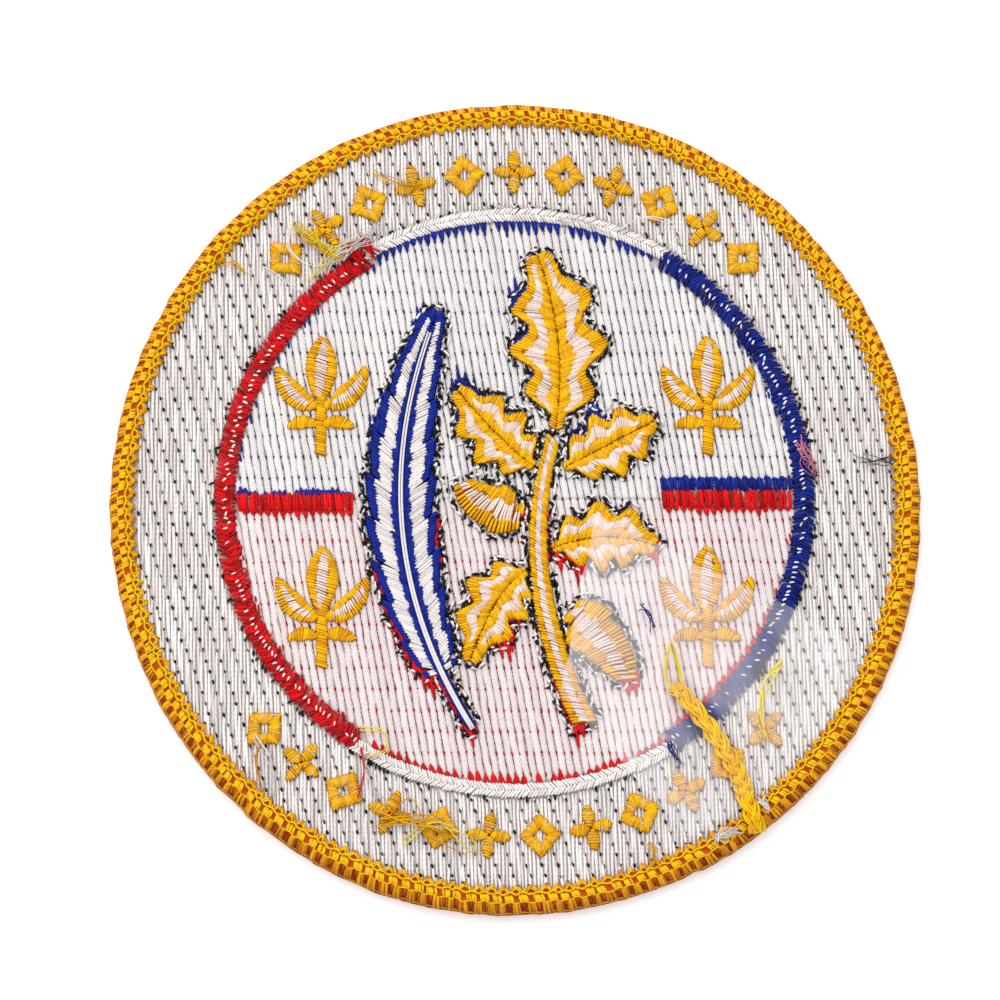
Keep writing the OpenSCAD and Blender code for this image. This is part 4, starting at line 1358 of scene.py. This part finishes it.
# Loose thread ends: colour, radius, strands, spread, and the points that they pass, with heights
LOOSE = [
    ("black", 0.06, 7, 0.7, [(42, 4.2, 3), (40.6, 4, 3.3), (38.6, 4.4, 2.6)]),
    ("gold", 0.07, 5, 0.5, [(-10.4, 35.8, 2.9), (-13, 36.2, 3.3), (-16.2, 37.6, 2.6)]),
    ("gold", 0.07, 4, 0.4, [(-30.2, 25.8, 2.9), (-32, 27, 3.2), (-33.8, 27, 2.5)]),
    ("pale_gold", 0.06, 6, 0.6, [(-17.5, 29.5, 2.9), (-19.8, 28.4, 3.4), (-22, 26.2, 3), (-23.4, 25, 2.5)]),
    ("white", 0.07, 4, 0.4, [(-24, 30.4, 2.5), (-21.4, 28.6, 3.2), (-18, 29, 3.2), (-15.2, 31.6, 2.7)]),
    ("white", 0.09, 2, 0.3, [(11.7, 30.7, 2.6), (14.4, 32.2, 3.3), (17.4, 31.4, 3.2), (18.6, 29.4, 2.6)]),
    ("white", 0.08, 2, 0.3, [(4.8, 32.2, 2.7), (7.2, 31.8, 3.2), (9.8, 30.8, 2.6)]),
    ("gold", 0.09, 3, 0.4, [(-27.6, -27.2, 2.6), (-28.6, -29.4, 3.2), (-27.8, -32.8, 2.6)]),
    ("white", 0.08, 3, 0.5, [(-28.6, -26.8, 2.5), (-27, -29.6, 3.1), (-26.2, -33.4, 2.5)]),
    ("pale_gold", 0.1, 2, 0.3, [(-17, -26, 2.6), (-14.4, -26.6, 3.3), (-14, -28.6, 3.3), (-16.4, -29, 2.6)]),
    ("white", 0.08, 2, 0.3, [(-16.2, -30.2, 2.6), (-15.6, -32.2, 3.1), (-14.4, -33.8, 2.5)]),
    ("red", 0.09, 2, 0.25, [(-16.9, -28, 2.6), (-16.6, -31, 3.2), (-17.2, -33.9, 2.5)]),
    ("gold", 0.09, 8, 1.1, [(-15, -36.2, 2.7), (-11.6, -35.4, 3.4), (-8.6, -36.6, 3.4), (-6.4, -38, 2.6)]),
    ("pale_gold", 0.08, 4, 0.7, [(-12.4, -38.4, 2.6), (-9.4, -36.6, 3.3), (-5.8, -37.6, 3),
                                (-4.6, -39.8, 2.5)]),
    ("gold", 0.07, 5, 0.5, [(14.6, -38.6, 2.6), (15.2, -39.6, 3.4), (15.4, -41, 3)]),
    ("pink", 0.06, 9, 0.8, [(32, 6.2, 2.8), (32.6, 4.2, 3.3), (33.6, 2.6, 2.6)]),
    ("blue", 0.06, 6, 0.6, [(14, -12.6, 2.7), (14.8, -13.4, 3.2), (15.2, -14.8, 2.7)]),
    ("blue", 0.07, 6, 0.35, [(16.9, -27.2, 2.7), (17.4, -28.6, 3.1), (18.3, -30.2, 2.6)]),
    ("lemon", 0.15, 3, 0.12, [(17.1, -22, 2.7), (16.6, -19.6, 3.2), (17.3, -16.4, 3.3), (18.1, -19.6, 3.2),
                              (18.8, -22.3, 2.7)]),
    ("pale_gold", 0.13, 4, 0.4, [(29.4, -18.6, 3), (27.6, -21, 3.2), (27.2, -24, 3.2), (27.6, -27.2, 3)]),
    ("red", 0.14, 9, 0.7, [(-17.4, 27.4, 2.8), (-18.6, 28.6, 3.2), (-19.8, 28.2, 2.8)]),
    ("red", 0.15, 8, 0.45, [(-18.4, 29.4, 2.6), (-17, 29.5, 3), (-15.8, 27.8, 2.7)]),
    ("lemon", 0.07, 12, 0.6, [(-19.6, 27.6, 2.9), (-21.4, 28.7, 3.5), (-23.4, 30.3, 3.5), (-25, 31.4, 2.8)]),
    ("gold", 0.07, 8, 0.5, [(-20, 27.4, 2.8), (-22, 28.8, 3.3), (-24.6, 30.6, 3.1)]),
    ("white", 0.06, 12, 0.8, [(-20.6, 27.3, 2.8), (-18.6, 28.4, 3.6), (-16.2, 29.8, 3.2)]),
    ("white", 0.08, 2, 0.2, [(-25.5, 31.1, 2.7), (-25.2, 28.4, 3.1), (-23, 26.6, 3.1), (-20.2, 27, 2.9)]),
    ("white", 0.08, 2, 0.15, [(-28.4, 26.8, 2.6), (-26.2, 25.1, 3.1), (-24, 23.6, 2.6)]),
    ("white", 0.07, 12, 0.5, [(22.2, -38.1, 3), (23.2, -37.6, 3.2), (24.4, -37.2, 3)]),
    ("white", 0.09, 8, 0.35, [(26.8, -33.8, 3), (27.4, -34.5, 3.2), (27.8, -35.2, 3)]),
]


def build_loose():
    """Loose thread ends and tufts on the back."""
    rng = np.random.default_rng(91)
    gathered = {}
    points = 11
    for colour, radius, count, spread, line in LOOSE:
        threads = gathered.setdefault(colour, Threads())
        base = spline(line, points)
        knots = rng.normal(0, 1, (count, 4, 3)) * [spread * 0.6, spread * 0.6, 0.12]
        for k in range(count):
            drift = spline(knots[k], points)
            path = base + drift
            path[:, 2] = np.maximum(path[:, 2], FILL_TOP + radius)
            threads.add(path[None], radius * np.linspace(1, 0.6, points), tone=rng.uniform(0.3, 1.0))
    for colour, threads in gathered.items():
        threads.in_colour(f"loose_{colour}_ends", colour)


def finish_face():
    """The hidden face keeps the frame's solids, with stitched materials."""
    gold = (206, 122, 8), (255, 204, 34)
    # Material, deep and bright colour, pitch of the rows, and their slope
    finishes = {
        "face_band": ("face_black_fill", (10, 10, 12), (46, 44, 48), 0.43, 0.36),
        "face_upper_field": ("face_blue_fill", (14, 30, 110), (40, 74, 186), 0.41, 0.18),
        "face_lower_field": ("face_red_fill", (140, 6, 14), (224, 26, 32), 0.41, 0.18),
        "face_ring": ("face_white_satin", (190, 184, 184), (250, 248, 248), 0.3, 0.9),
        "face_figure": ("face_gold_satin", *gold, 0.42, -0.7),
        "face_feather": ("face_white_feather", (190, 190, 198), (250, 250, 252), 0.42, 0.7),
        "face_sprigs": ("face_gold_sprigs", *gold, 0.36, 0.6),
        "face_ornaments": ("face_gold_ornaments", *gold, 0.34, -0.5),
    }
    for node, (name, deep, bright, pitch, slope) in finishes.items():
        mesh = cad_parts[node].data
        mesh.materials.clear()
        mesh.materials.append(face_material(name, rgb(*deep), rgb(*bright), pitch, slope))


# The camera looks down on the back, steeply, from the foot of the design
ELEVATION = math.radians(78)
DISTANCE = 0.45
TARGET = Vector((-1.61, 0.0, 1.4)) * MM
SCALE_PX_PER_MM = 8.967
SENSOR = 36.0
IMAGE_SIDE = 1000


def build_camera():
    data = bpy.data.cameras.new("camera")
    data.sensor_width = SENSOR
    data.lens = SCALE_PX_PER_MM * DISTANCE / MM * SENSOR / IMAGE_SIDE
    data.clip_start = 0.01
    camera = bpy.data.objects.new("camera", data)
    camera.location = TARGET + DISTANCE * Vector((0, -math.cos(ELEVATION), math.sin(ELEVATION)))
    camera.rotation_euler = (math.pi / 2 - ELEVATION, 0, 0)
    bpy.context.scene.collection.objects.link(camera)
    bpy.context.scene.camera = camera


def area_light(name, place, side, power):
    data = bpy.data.lights.new(name, "AREA")
    data.size = side
    data.energy = power
    light = bpy.data.objects.new(name, data)
    light.location = place
    light.rotation_euler = (-Vector(place)).to_track_quat("-Z", "Y").to_euler()
    bpy.context.scene.collection.objects.link(light)


def build_studio():
    """Plain pale floor and soft light from the upper left."""
    side = 2.0
    mesh = bpy.data.meshes.new("floor")
    corners = [(-side, -side, 0), (side, -side, 0), (side, side, 0), (-side, side, 0)]
    mesh.from_pydata(corners, [], [(0, 1, 2, 3)])
    floor = bpy.data.objects.new("floor", mesh)
    bpy.context.scene.collection.objects.link(floor)
    g = Graph("pale_floor")
    g.colour(g.noise(g.place(), 40.0), (0.9, 0.9, 0.9, 1), (0.94, 0.94, 0.94, 1))
    g.set(Roughness=0.9, Emission_Color=(1, 1, 1, 1), Emission_Strength=0.3)
    mesh.materials.append(g.material)
    area_light("key", (-0.2, 0.38, 0.55), 1.1, 4.6)
    scene = bpy.context.scene
    world = scene.world or bpy.data.worlds.new("studio")
    scene.world = world
    world.use_nodes = True
    background = world.node_tree.nodes["Background"]
    background.inputs["Color"].default_value = (1, 1, 1, 1)
    background.inputs["Strength"].default_value = 0.75
    scene.view_settings.view_transform = "Standard"


build_camera()
build_studio()
build_ground()
build_band()
build_field(1, "column", "shaded_navy", "shaded_blue", 12)
build_field(-1, "rosy", "red", "shaded_red", 13)
build_ring()
build_ring_edges()
build_stripes()
build_figure()
build_sprigs()
build_ornaments()
build_outline()
build_patches()
build_border()
build_tail()
build_film()
build_loose()
finish_face()
